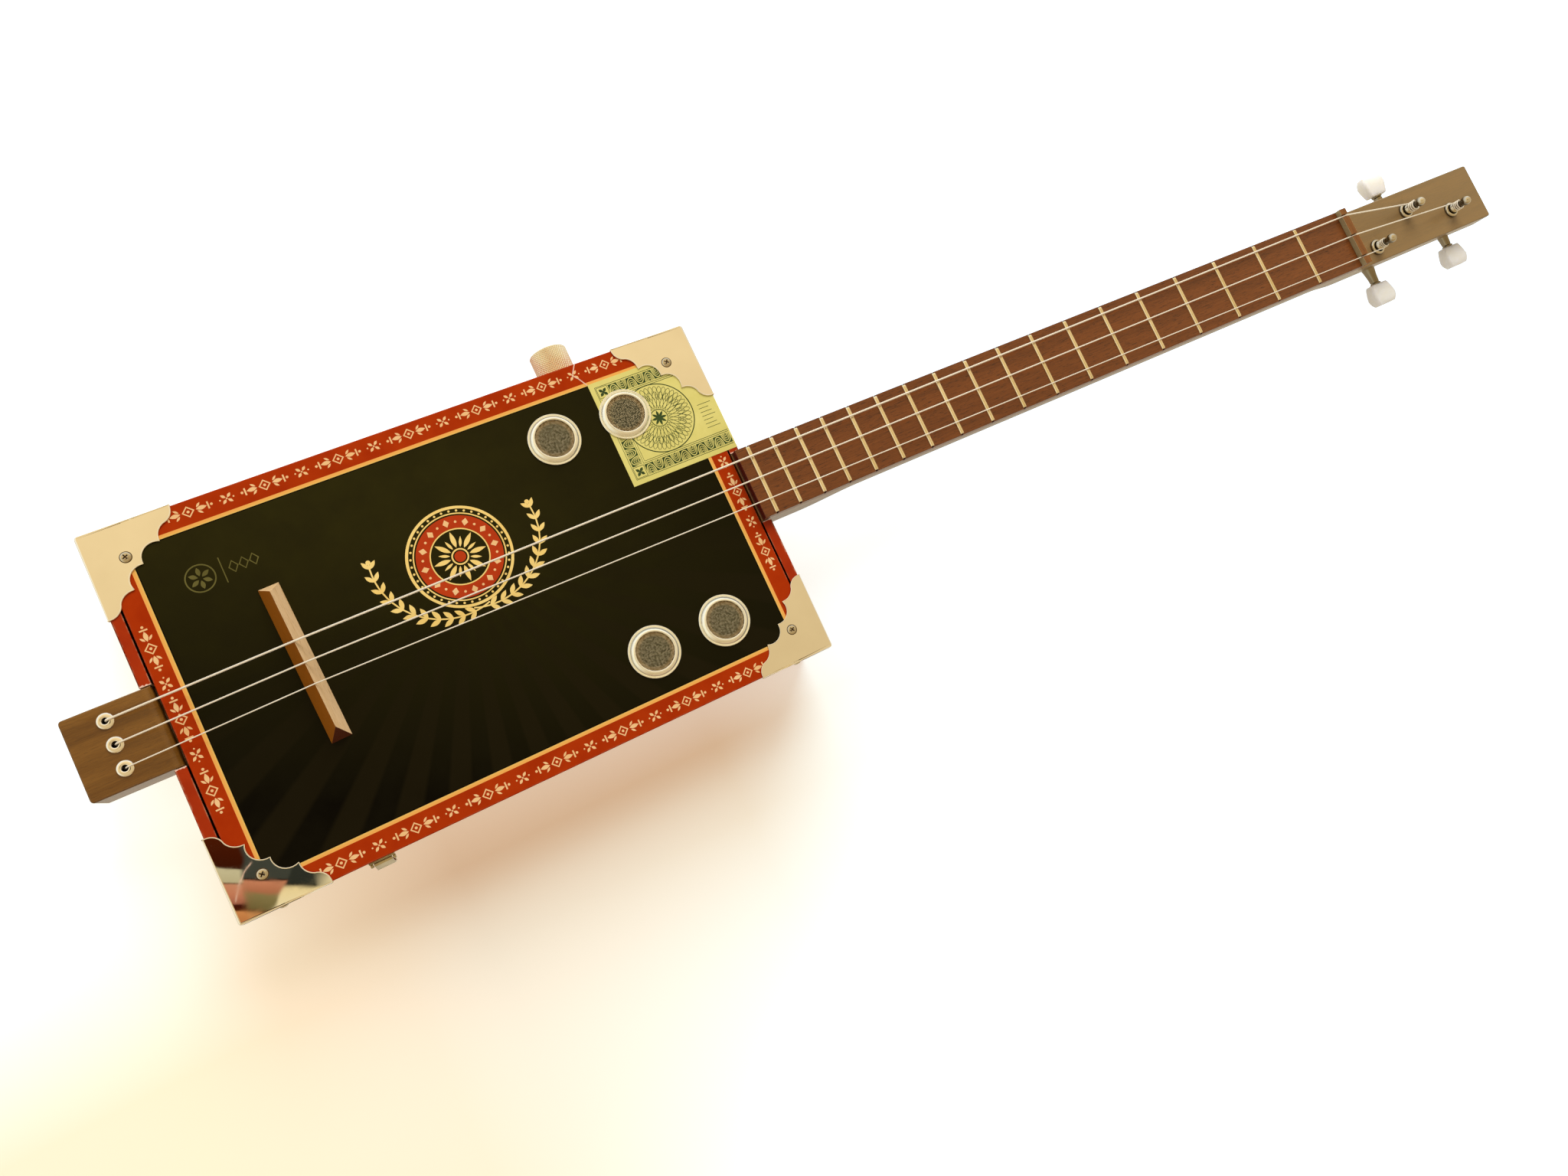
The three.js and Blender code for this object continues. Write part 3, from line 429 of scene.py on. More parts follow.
# Papers
def band_distance(tree, x, y):
    """How far outside the gold line's outer edge a point of the face lies."""
    half_x = box_end - line["from_end"] - line["corner"]
    half_y = box_side - line["from_side"] - line["corner"]
    across = less(tree, calc(tree, "ABSOLUTE", x), half_x)
    along = less(tree, calc(tree, "ABSOLUTE", y), half_y)
    positive = [calc(tree, "POWER", calc(tree, "MAXIMUM", part, 0.0), 2.0) for part in (across, along)]
    outside = calc(tree, "SQRT", total(tree, *positive))
    inside = calc(tree, "MINIMUM", calc(tree, "MAXIMUM", across, along), 0.0)
    return less(tree, total(tree, outside, inside), line["corner"])


def step_at(tree, value, edge):
    softness = 0.06 * mm
    return spread(tree, value, edge - softness, edge + softness)


# The lid field's fan of rays, its painted sheen, and the painted shadow inside the gold line.
lid_field = {
    "fan_middle": 20 * mm,
    "fan_rays": 34.0,
    "fan_fade": (30 * mm, -60 * mm),
    "slope": 0.45,
    "light_fade": (-100 * mm, 30 * mm),
    "head_fade": (10 * mm, 140 * mm),
    "shadow": 0.5 * mm,
}


def lid_print():
    """Near-black field with a faint fan of rays, a gold line round it and a red band outside; the field has a
    painted olive sheen toward the bass side and a painted shadow just inside the gold line.
    """
    material, tree, shader = finish_of("lid_print", {"Specular IOR Level": 0.06})
    at = place_of(tree)
    x, y, _ = axes_of(tree, at)
    made = placed(tree, fibre, {"Vector": at})
    from_line = band_distance(tree, x, y)

    around = calc(tree, "ARCTAN2", less(tree, y, lid_field["fan_middle"]), x)
    rays = spread(tree, calc(tree, "SINE", product(tree, around, lid_field["fan_rays"])), -0.25, 0.25)
    fan = product(tree, rays, spread(tree, y, *lid_field["fan_fade"]), 0.6)
    # Painted sheen: the field painted olive toward the bass side, less toward the head, as light on its
    # varnish.
    slant = total(tree, y, product(tree, x, lid_field["slope"]))
    painted_sheen_share = faded(tree, (slant, *lid_field["light_fade"]), (x, *lid_field["head_fade"], 1.0, 0.3))
    field = mixed(tree, painted_sheen_share, tint(0x060401), tint(0x2A2609))
    field = mixed(tree, product(tree, made["Tone"], 0.35), field, tint(0x161306))
    field = mixed(tree, fan, field, tint(0x1E1808))

    gold = mixed(tree, step_at(tree, from_line, line["pale"] - line["width"]), tint(0xEBBC62), tint(0xF2AE56))
    red = mixed(tree, made["Tone"], tint(0xA42C02), tint(0xB23705))
    # Painted shadow: the field darker just inside the gold line.
    shadow = step_at(tree, from_line, -line["width"] - lid_field["shadow"])
    shadowed_field = mixed(tree, shadow, field, tint(0x050403))
    color = mixed(tree, step_at(tree, from_line, -line["width"]), shadowed_field, gold)
    color = mixed(tree, step_at(tree, from_line, 0.0), color, red)
    core = placed(tree, wear, {"Vector": at, "Reach": paper["wear"], "Amount": 0.55})["Mask"]
    feed(tree, shader["Base Color"], mixed(tree, core, color, tint(0xC99B72)))
    feed(tree, shader["Roughness"], spread(tree, made["Tone"], 0, 1, 0.34, 0.44))
    feed(tree, shader["Normal"], bump(tree, made["Height"], 0.12, 0.05 * mm))
    return material


wall_marks = {
    "gold_low": 7.2 * mm,
    "gold_high": 6.2 * mm,
    "notch_side": (0.55 * mm, 0.45 * mm),
    "notch_floor": (-0.6 * mm, -0.3 * mm),
    "inner_face": 0.1 * mm,
    "joint": (-0.2 * mm, -0.4 * mm),
}


def side_print():
    """Red paper on the walls, with a gold line near the top and the bottom, over a pale board; the walls'
    inner faces are painted near-black as shade.
    """
    material, tree, shader = finish_of("side_print", {"Specular IOR Level": 0.15})
    at = place_of(tree)
    x, y, z = axes_of(tree, at)
    across, aside = calc(tree, "ABSOLUTE", x), calc(tree, "ABSOLUTE", y)
    made = placed(tree, fibre, {"Vector": at})
    red = mixed(tree, made["Tone"], tint(0xA02A02), tint(0xB03505))
    middle = calc(tree, "ABSOLUTE", less(tree, z, face / 2))
    inner = step_at(tree, middle, face / 2 - wall_marks["gold_low"])
    outer = step_at(tree, middle, face / 2 - wall_marks["gold_high"])
    color = mixed(tree, less(tree, inner, outer), red, tint(0xE3AE62))
    side_fade = [neck_side + part for part in wall_marks["notch_side"]]
    floor_fade = [neck_low.z + part for part in wall_marks["notch_floor"]]
    color = mixed(tree, faded(tree, (aside, *side_fade), (z, *floor_fade)), color, tint(0xE2C79A))
    # Painted shade: the walls' inner faces, inside the box, painted a near-black red.
    inner_face = box_end - panel
    joint = [box_side + part for part in wall_marks["joint"]]
    inside = faded(tree, (across, inner_face + wall_marks["inner_face"], inner_face), (aside, *joint))
    color = mixed(tree, inside, color, tint(0x2A0C08))
    core = placed(tree, wear, {"Vector": at, "Reach": paper["wear"], "Amount": 0.65})["Mask"]
    feed(tree, shader["Base Color"], mixed(tree, core, color, tint(0xD2A67E)))
    feed(tree, shader["Roughness"], spread(tree, made["Tone"], 0, 1, 0.4, 0.5))
    feed(tree, shader["Normal"], bump(tree, made["Height"], 0.15, 0.05 * mm))
    return material


def plain_paper(name, light, dark, rough=0.55, speckle=0.0):
    material, tree, shader = finish_of(name, {"Specular IOR Level": 0.12})
    at = place_of(tree)
    made = placed(tree, fibre, {"Vector": at})
    color = mixed(tree, made["Tone"], dark, light)
    if speckle:
        spots = spread(tree, noise(tree, at, 1900.0, 2.0), 0.6, 0.75, 0.0, speckle)
        color = mixed(tree, spots, color, dark)
    feed(tree, shader["Base Color"], color)
    feed(tree, shader["Roughness"], spread(tree, made["Height"], 0.2, 0.8, rough - 0.06, rough + 0.06))
    feed(tree, shader["Normal"], bump(tree, made["Height"], 0.12, 0.04 * mm))
    return material


lid_paper = lid_print()
wall_paper = side_print()
bottom_paper = plain_paper("bottom_paper", tint(0x8F260B), tint(0x7C1F08), speckle=0.2)
label_paper = plain_paper("label_paper", tint(0xE6DB83), tint(0xD8CD72), rough=0.6, speckle=0.2)
cream_ink = plain_paper("cream_ink", tint(0xF7CE96), tint(0xEEBB7C), rough=0.42)
gold_ink = plain_paper("gold_ink", tint(0xFBDD8A), tint(0xF2CC70), rough=0.4)
red_ink = plain_paper("red_ink", tint(0xC04014), tint(0xAE340E), rough=0.42)
olive_ink = plain_paper("olive_ink", tint(0x6E6734), tint(0x5B5529), rough=0.42)
green_ink = plain_paper("green_ink", tint(0x44552C), tint(0x2B3A1E), rough=0.6, speckle=0.5)
torn_paper = plain_paper("torn_paper", tint(0xF3CBB4), tint(0xE9B79E), rough=0.7)


# Metals
def plated(name, color, smooth=0.06, smudged=0.16, relief=0.02, tarnish=None, values=None):
    material, tree, shader = finish_of(name, {"Metallic": 1.0, **(values or {})})
    at = place_of(tree)
    made = placed(tree, marks, {"Vector": at, "Smooth": smooth, "Smudged": smudged})
    shade = spread(tree, noise(tree, at, 45.0, 3.0), 0.3, 0.7)
    feed(tree, shader["Base Color"], mixed(tree, shade, color, tarnish or color))
    feed(tree, shader["Roughness"], made["Roughness"])
    feed(tree, shader["Normal"], bump(tree, made["Height"], relief, 0.02 * mm))
    return material


chrome = plated("mirror_chrome", tint(0xFBF7EF), 0.012, 0.045, 0.004, tint(0xF4EFE6))
ring_chrome = plated("port_ring_chrome", tint(0xFFFFF4), 0.16, 0.24, 0.01, tint(0xFFFDEC), {"Metallic": 0.75})
tuner_chrome = plated("tuner_chrome", tint(0xE2DCD0), 0.06, 0.17, 0.03, tint(0xCBC3B4))
# Painted dark reflection: the posts' and bushings' sides and undersides are painted dark, for the dark
# surroundings they reflect.
overlaid(tuner_chrome, facing(z=-1, low=-0.65, high=-0.05), tint(0x6C6456))
# A darker copy of the chrome for the housings and shafts, painted to stand for the dark surroundings they
# reflect.
boss_metal = plated("tuner_boss", tint(0x9C907C), 0.1, 0.25, 0.03, tint(0x7E735F))
nickel = plated("fret_nickel", tint(0xFFF4D8), 0.2, 0.32, 0.1, tint(0xEFDFB8))
knob_metal = plated("knob_metal", tint(0xFFFCEC), 0.26, 0.36, 0.05, tint(0xFAF0CE), {"Metallic": 0.8})
clasp_metal = plated("clasp_metal", tint(0xC9BC9C), 0.22, 0.4, 0.08, tint(0x8E8468))
control_metal = plated("control_metal", tint(0xCFCBC0), 0.2, 0.35, 0.05, tint(0xB9B3A4))
screw_metal = plated("screw_plate", tint(0xD9D0BD), 0.12, 0.28, 0.05, tint(0xB7AB94))
brass = plated("pickup_brass", tint(0xD9B25C), 0.25, 0.4, 0.05, tint(0xB58C3C))


def from_axis(tree, vector):
    """The distance from the vector's Z axis, and the height along it."""
    x, y, z = axes_of(tree, vector)
    squares = [product(tree, part, part) for part in (x, y)]
    return calc(tree, "SQRT", total(tree, *squares)), z


recess_shade_marks = {"sunk": (-0.25 * mm, -0.35 * mm), "arm_share": 1.1, "foot": (0.09 * mm, 0.05 * mm)}


def recess(tree):
    """The crossed recess, painted dark as shade, and a painted contact shadow at the foot of a screw's head.
    """
    reach, height = from_axis(tree, place_of(tree))
    levels = [screw["rise"] + part for part in recess_shade_marks["sunk"]]
    arm = screw["arm"]
    sunk = faded(tree, (height, *levels), (reach, arm * recess_shade_marks["arm_share"], arm))
    return calc(tree, "MAXIMUM", sunk, spread(tree, height, *recess_shade_marks["foot"]))


# Painted shade in the screw heads' recesses, and a painted contact shadow round their feet.
overlaid(screw_metal, recess, tint(0x54412A))


def screen_finish():
    """Woven wire, dull and dark in the middle, and paler toward the rim as painted light on the screen's
    slope.
    """
    material, tree, shader = finish_of("mesh_wire", {"Metallic": 0.6, "Roughness": 0.45})
    at = place_of(tree)
    reach, _ = from_axis(tree, at)
    grainy = spread(tree, noise(tree, at, 1500.0, 1.0), 0.42, 0.58)
    middle = mixed(tree, grainy, tint(0x5C5A42), tint(0xC4B998))
    border = mixed(tree, grainy, tint(0xB59B70), tint(0xEFD9B2))
    # Painted light: the wires paler toward the rim, where the screen slopes down.
    edge = spread(tree, reach, port["flange"] - 0.6 * mm, port["groove"])
    feed(tree, shader["Base Color"], mixed(tree, edge, middle, border))
    return material


mesh_metal = screen_finish()
port_cloth = plain_paper("port_cloth", tint(0x1E1C15), tint(0x0B0A07), rough=0.85, speckle=0.5)
flange_metal = plated("port_flange", tint(0x8A7450), 0.35, 0.5, 0.05, tint(0x66543A))


def wound_metal():
    """Wound string wire, with its fine rings along the length."""
    material, tree, shader = finish_of("wound_string", {"Metallic": 0.5, "Roughness": 0.35})
    x, _, _ = axes_of(tree, place_of(tree))
    pitch = 0.35 * mm
    rings = calc(tree, "SINE", product(tree, x, 2 * math.pi / pitch))
    shade = spread(tree, rings, -1, 1)
    feed(tree, shader["Base Color"], mixed(tree, shade, tint(0xF3ECDE), tint(0xFFFBF0)))
    feed(tree, shader["Normal"], bump(tree, rings, 0.12, 0.03 * mm))
    return material


plain_wire = plated("plain_string", tint(0xFFFCF2), 0.3, 0.4, 0.05, tint(0xF6F0E2), {"Metallic": 0.5})
wound_wire = wound_metal()


def pearl_finish():
    """Pale moulded plastic with a faint swirl, soft in the light."""
    values = {
        "Subsurface Weight": 1.0,
        "Subsurface Radius": (1.0, 0.96, 0.88),
        "Subsurface Scale": 6 * mm,
        "Coat Weight": 0.3,
        "Coat Roughness": 0.15,
    }
    material, tree, shader = finish_of("button_pearl", values)
    at = place_of(tree)
    swirl = noise(tree, stretched(tree, at, (90, 140, 260)), 1.0, 4.0, 0.6, 1.6)
    color = mixed(tree, spread(tree, swirl, 0.35, 0.65), tint(0xFFFDF7), tint(0xFBF7EC))
    feed(tree, shader["Base Color"], color)
    feed(tree, shader["Roughness"], spread(tree, swirl, 0.3, 0.7, 0.16, 0.28))
    feed(tree, shader["Normal"], bump(tree, swirl, 0.04, 0.1 * mm))
    return material


pearl = pearl_finish()


# Mesh helpers
def turned_at(*matrices):
    made = Matrix.Identity(4)
    for matrix in matrices:
        made = made @ matrix
    return made


def shift(x, y, z):
    return Matrix.Translation((x, y, z))


def in_mm(points):
    return [tuple(part * mm for part in point) for point in points]


def turn(degrees, axis):
    return Matrix.Rotation(math.radians(degrees), 4, axis)


def lathe(bm, profile, steps, matrix=None, closed=False):
    """A turned surface from (radius, height) pairs, up the outside. A radius of zero closes it."""
    rings = []
    for radius, height in profile:
        count = steps if radius > 0 else 1
        ring = []
        for i in range(count):
            angle = 2 * math.pi * i / steps
            point = Vector((math.cos(angle) * radius, math.sin(angle) * radius, height))
            ring.append(bm.verts.new(matrix @ point if matrix else point))
        rings.append(ring)
    pairs = list(zip(rings, rings[1:]))
    if closed:
        pairs.append((rings[-1], rings[0]))
    for lower, upper in pairs:
        for i in range(steps):
            a, b = lower[i % len(lower)], lower[(i + 1) % len(lower)]
            c, d = upper[(i + 1) % len(upper)], upper[i % len(upper)]
            face_verts = []
            for vert in (a, b, c, d):
                if vert not in face_verts:
                    face_verts.append(vert)
            if len(face_verts) > 2:
                bm.faces.new(face_verts)


def skin(bm, rings, looped=False):
    """Faces through rings of equal counts, closed at the ends or looped round."""
    made = [[bm.verts.new(point) for point in ring] for ring in rings]
    pairs = list(zip(made, made[1:]))
    if looped:
        pairs.append((made[-1], made[0]))
    for lower, upper in pairs:
        for i in range(len(lower)):
            k = (i + 1) % len(lower)
            bm.faces.new((lower[i], lower[k], upper[k], upper[i]))
    if not looped:
        bm.faces.new(list(reversed(made[0])))
        bm.faces.new(made[-1])


def tube(bm, points, radius, sides, side=(0, 1, 0)):
    """A round wire along points, with its rings kept square to the path."""
    points = [Vector(point) for point in points]
    side = Vector(side)
    rings = []
    for i, point in enumerate(points):
        along = (points[min(i + 1, len(points) - 1)] - points[max(i - 1, 0)]).normalized()
        side = (side - along * side.dot(along)).normalized()
        across = along.cross(side)
        angles = [2 * math.pi * k / sides for k in range(sides)]
        rings.append([point + side * math.cos(a) * radius + across * math.sin(a) * radius for a in angles])
    skin(bm, rings)


def slab(bm, points, low, high):
    """A flat outline given a thickness."""
    bottom = [bm.verts.new((x, y, low)) for x, y in points]
    top = [bm.verts.new((x, y, high)) for x, y in points]
    bm.faces.new(list(reversed(bottom)))
    bm.faces.new(top)
    for i in range(len(points)):
        k = (i + 1) % len(points)
        bm.faces.new((bottom[i], bottom[k], top[k], top[i]))


def eased(bm, width, segments=2, angle=30, chosen=None):
    """Rounds off the sharp edges, or those that chosen picks."""
    bm.normal_update()
    edges = [
        edge
        for edge in bm.edges
        if len(edge.link_faces) == 2
        and edge.calc_face_angle(0) > math.radians(angle)
        and (chosen is None or chosen(edge))
    ]
    bmesh.ops.bevel(
        bm, geom=edges, offset=width, offset_type="OFFSET", segments=segments, profile=0.5, affect="EDGES",
        clamp_overlap=True,
    )


kept_flat = ("WEIGHTED_NORMAL", {"mode": "FACE_AREA", "weight": 90, "keep_sharp": True})


def modified(mesh, *steps):
    """The mesh after modifiers, each given as its kind and its settings."""
    blank = bpy.data.objects.new("blank", mesh)
    bpy.context.scene.collection.objects.link(blank)
    for kind, settings in steps:
        modifier = blank.modifiers.new(kind.lower(), kind)
        for key, value in settings.items():
            setattr(modifier, key, value)
    result = bpy.data.meshes.new_from_object(blank.evaluated_get(bpy.context.evaluated_depsgraph_get()))
    bpy.data.objects.remove(blank)
    result.name = mesh.name
    return result


def shaded(mesh, angle):
    """Smooth shading that breaks at sharp edges, and keeps large flat faces flat."""
    mesh.shade_smooth()
    mesh.set_sharp_from_angle(angle=math.radians(angle))
    return modified(mesh, kept_flat)


def mesh_of(bm, name, angle=35):
    bmesh.ops.recalc_face_normals(bm, faces=bm.faces)
    mesh = bpy.data.meshes.new(name)
    bm.to_mesh(mesh)
    bm.free()
    return shaded(mesh, angle)


def piece(name, mesh, material, body="root", stands_for=(), matrix=None):
    """A named piece on its body, standing for the frame's nodes that it replaces."""
    made = bpy.data.objects.new(name, mesh)
    bpy.context.scene.collection.objects.link(made)
    if not mesh.materials:
        mesh.materials.append(material)
    if matrix is not None:
        made.matrix_world = matrix
    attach(made, body)
    if stands_for:
        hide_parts(*stands_for)
    return made


def frame_mesh(name):
    """A frame node's mesh with its flat faces whole again."""
    bm = bmesh.new()
    bm.from_mesh(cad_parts[name].data)
    bmesh.ops.remove_doubles(bm, verts=bm.verts, dist=0.002 * mm)
    bmesh.ops.dissolve_limit(bm, angle_limit=math.radians(0.6), verts=bm.verts, edges=bm.edges)
    return bm


def placed_copy(mesh, matrix, mirrored=False):
    """A copy of the mesh moved by the matrix, with its faces put right if that mirrors it."""
    bm = bmesh.new()
    bm.from_mesh(mesh)
    bm.transform(matrix)
    if mirrored:
        bmesh.ops.reverse_faces(bm, faces=bm.faces)
    made = bpy.data.meshes.new(mesh.name)
    bm.to_mesh(made)
    bm.free()
    return modified(made, kept_flat)


def softened(name, width, material, body="root", segments=2, angle=30, chosen=None):
    bm = frame_mesh(name)
    eased(bm, width, segments, angle, chosen)
    return piece(f"{name}_fine", mesh_of(bm, name), material, body, (name,))


def carved(mesh, cutter, angle=32):
    """The mesh with the cutter's shape taken out."""
    tool = bpy.data.objects.new("tool", cutter)
    bpy.context.scene.collection.objects.link(tool)
    made = modified(mesh, ("BOOLEAN", {"operation": "DIFFERENCE", "solver": "EXACT", "object": tool}))
    bpy.data.objects.remove(tool)
    return shaded(made, angle)


# Box
edge_reach = 0.1 * mm


def outer_edge(edge):
    """Edges on the outside of the box, which the paper wraps; glued joints stay sharp."""
    ends = [vert.co for vert in edge.verts]
    planes = 0
    planes += all(abs(abs(co.x) - box_end) < edge_reach for co in ends)
    planes += all(abs(abs(co.y) - box_side) < edge_reach for co in ends)
    planes += all(abs(co.z) < edge_reach or abs(co.z - face) < edge_reach for co in ends)
    return planes > 1


def lid_edge(edge):
    ends = [vert.co for vert in edge.verts]
    on_side = all(abs(abs(co.y) - box_side) < edge_reach for co in ends)
    on_end = all(abs(abs(co.x) - lid_high.x) < edge_reach for co in ends)
    return on_side or on_end


def box():
    softened("box_lid", 0.45 * mm, lid_paper, segments=3, chosen=lid_edge)
    for name in ("box_end_head", "box_end_tail", "box_side_bass", "box_side_treble"):
        softened(name, paper["edge"], wall_paper, segments=3, chosen=outer_edge)
    softened("box_bottom", 0.3 * mm, bottom_paper, chosen=outer_edge)


# Torn threads beside the neck's notch, in millimetres
frays = {"gap": 0.4, "least": 0.15, "most": 0.85, "inner_gap": 0.1, "outer_gap": 0.3, "steps": 9}


def notch_frays():
    """Torn white paper along the cut edges of the notches that the neck lies in."""
    ink = Ink()
    random.seed(11)
    start = neck_side / mm + frays["gap"]
    inner, outer = (box_end - panel) / mm + frays["inner_gap"], box_end / mm - frays["outer_gap"]
    for end in (-1, 1):
        for side in (-1, 1):
            ragged = []
            for i in range(frays["steps"] + 1):
                x = inner + (outer - inner) * i / frays["steps"]
                ragged.append((end * x, side * (start + random.uniform(frays["least"], frays["most"]))))
            points = [(end * outer, side * start), (end * inner, side * start)]
            ink.shape([*ragged, *points])
    ink.laid("notch_frays", torn_paper, "box_paper", shift(0, 0, face))


# Printed ornament: flat inked shapes drawn in millimetres, then laid on the paper
class Ink:
    """Inked shapes in a plane, gathered into one mesh. Each is a hair higher than the one before."""

    def __init__(self):
        self.bm = bmesh.new()
        self.count = 0

    def height(self):
        self.count += 1
        return ink_depth * (0.7 + 0.03 * (self.count % 10))

    def shape(self, points):
        slab(self.bm, [(x * mm, y * mm) for x, y in points], 0, self.height())

    def stroke(self, points, width, closed=False):
        count = len(points)
        vectors = [Vector(point) for point in points]
        top = self.height()
        rings = []
        for i, point in enumerate(vectors):
            before = vectors[(i - 1) % count] if closed or i else point
            after = vectors[(i + 1) % count] if closed or i + 1 < count else point
            along = (after - before).normalized()
            across = Vector((-along.y, along.x)) * (width / 2)
            left, right = (point + across) * mm, (point - across) * mm
            lift = top + ink_depth * 0.12 * math.sin(i * 0.31)
            rings.append([(*left, 0), (*right, 0), (*right, lift), (*left, lift)])
        skin(self.bm, rings, looped=closed)

    def circle(self, centre, radius, width, steps=64):
        self.stroke(self.around(centre, radius, steps), width, True)

    def dot(self, centre, radius, steps=16):
        self.shape(self.around(centre, radius, steps))

    def around(self, centre, radius, steps):
        angles = [2 * math.pi * i / steps for i in range(steps)]
        return [(centre[0] + math.cos(a) * radius, centre[1] + math.sin(a) * radius) for a in angles]

    def leaf(self, root, degrees, length, width, bow=0.5):
        """A pointed leaf from its root, widest at bow along it."""
        steps = 8
        angle = math.radians(degrees)
        along = Vector((math.cos(angle), math.sin(angle)))
        across = Vector((-along.y, along.x))
        start = Vector(root)
        shares = [i / steps for i in range(steps + 1)]
        swell = [math.sin(math.pi * share ** (math.log(0.5) / math.log(bow))) for share in shares]
        left = [start + along * length * s + across * width / 2 * w for s, w in zip(shares, swell)]
        right = [start + along * length * s - across * width / 2 * w for s, w in zip(shares, swell)]
        self.shape([*[tuple(p) for p in reversed(left)], *[tuple(p) for p in right[1:-1]]])

    def lozenge(self, centre, half_length, half_height):
        x, y = centre
        self.shape([(x - half_length, y), (x, y - half_height), (x + half_length, y), (x, y + half_height)])

    def lozenge_ring(self, centre, half_length, half_height, width):
        x, y = centre
        points = [(x - half_length, y), (x, y - half_height), (x + half_length, y), (x, y + half_height)]
        self.stroke(points, width, True)

    def laid(self, name, material, slot, matrix):
        """The ink on the plane that the matrix gives."""
        return piece(name, mesh_of(self.bm, name), material, "root", (), matrix)


motif_sizes = {"root": 0.5, "petal": (2.5, 1.25), "eye": 0.45, "bead_at": 2.9, "bead": 0.38}


def motif(ink, x, y, along):
    """Four petals round a small lozenge."""
    root, bead_at = motif_sizes["root"], motif_sizes["bead_at"]
    for quarter in range(4):
        angle = 45 + 90 * quarter
        start = (x + root * math.cos(math.radians(angle)), y + root * math.sin(math.radians(angle)))
        ink.leaf(start, angle, *motif_sizes["petal"])
    ink.lozenge((x, y), motif_sizes["eye"], motif_sizes["eye"])
    for side in (-1, 1):
        ink.dot((x + side * bead_at * along[0], y + side * bead_at * along[1]), motif_sizes["bead"], 10)


chain_sizes = {
    "half": 2.3,
    "line": 0.75,
    "eye": 0.62,
    "leaf_at": 3.3,
    "leaf": (4.6, 1.9),
    "side_leaf_at": (3.7, 0.75),
    "side_leaf": (2.7, 0.95),
    "splay": 42,
    "bar_at": 8.5,
    "bar_half": 1.7,
    "bar": 0.7,
    "bead_at": 9.9,
    "bead": 0.6,
}


def chain(ink, x, y, along):
    """A lozenge between leaves, bars and beads, some 20 mm long."""
    across = (-along[1], along[0])

    def at(a, b=0):
        return (x + along[0] * a + across[0] * b, y + along[1] * a + across[1] * b)

    degrees = math.degrees(math.atan2(along[1], along[0]))
    half = chain_sizes["half"]
    ink.stroke([at(-half), at(0, -half), at(half), at(0, half)], chain_sizes["line"], True)
    ink.dot(at(0), chain_sizes["eye"], 12)
    side_at, side_out = chain_sizes["side_leaf_at"]
    bar_at, bar_half = chain_sizes["bar_at"], chain_sizes["bar_half"]
    for side in (-1, 1):
        turned = degrees if side > 0 else degrees + 180
        ink.leaf(at(side * chain_sizes["leaf_at"]), turned, *chain_sizes["leaf"])
        for way in (-1, 1):
            heading = turned + side * way * chain_sizes["splay"]
            ink.leaf(at(side * side_at, way * side_out), heading, *chain_sizes["side_leaf"])
        ink.stroke([at(side * bar_at, -bar_half), at(side * bar_at, bar_half)], chain_sizes["bar"])
        ink.dot(at(side * chain_sizes["bead_at"]), chain_sizes["bead"], 12)


band = {"pitch": 33.0, "side_middle": 83.6, "end_middle": 133.4, "half": 16.5}


def ornament(ink, reach, origin=(0, 0), along=(1, 0)):
    """Chains up to reach pitches each way of the origin, and a motif in each gap."""

    def at(distance):
        return (origin[0] + along[0] * distance, origin[1] + along[1] * distance)

    for i in range(-reach, reach + 1):
        chain(ink, *at(i * band["pitch"]), along)
    for i in range(-reach, reach):
        motif(ink, *at(i * band["pitch"] + band["half"]), along)


def band_print():
    """The ornament along the four bands of the face."""
    bands = {
        "bass": (3, (0, band["side_middle"]), (1, 0)),
        "treble": (3, (0, -band["side_middle"]), (1, 0)),
        "tail": (1, (-band["end_middle"], 0), (0, 1)),
        "head": (1, (band["end_middle"], 0), (0, 1)),
    }
    for name, row in bands.items():
        ink = Ink()
        ornament(ink, *row)
        ink.laid(f"band_print_{name}", cream_ink, "lid_print", shift(0, 0, face))


def wall_print():
    """The same ornament along the walls, in the same cream ink."""
    for name, side, degrees in (("bass", 1, 180), ("treble", -1, 0)):
        ink = Ink()
        ornament(ink, 3)
        place = turned_at(shift(0, side * box_side, face / 2), turn(degrees, "Z"), turn(90, "X"))
        ink.laid(f"wall_print_{name}", cream_ink, "box_paper", place)


rosette = {
    "centre": (-1.5, 21.0),
    "rim": 23.5,
    "rim_line": 1.3,
    "inner_rim": 20.6,
    "inner_line": 0.6,
    "beads": 40,
    "bead": 0.55,
    "bead_shift": 0.15,
    "red_outer": 19.6,
    "red_inner": 13.6,
    "red_gap": 0.35,
    "rays": 16,
    "ray_root": 4.5,
    "petal": 12.4,
    "long_width": 2.2,
    "short_ray": (5.2, 1.3),
    "ray_bow": 0.45,
    "eye": 3.6,
    "eye_line": 0.7,
    "eye_gap": 1.0,
    "lozenges": 12,
    "lozenge": (1.9, 1.5),
    "dot": 0.6,
}


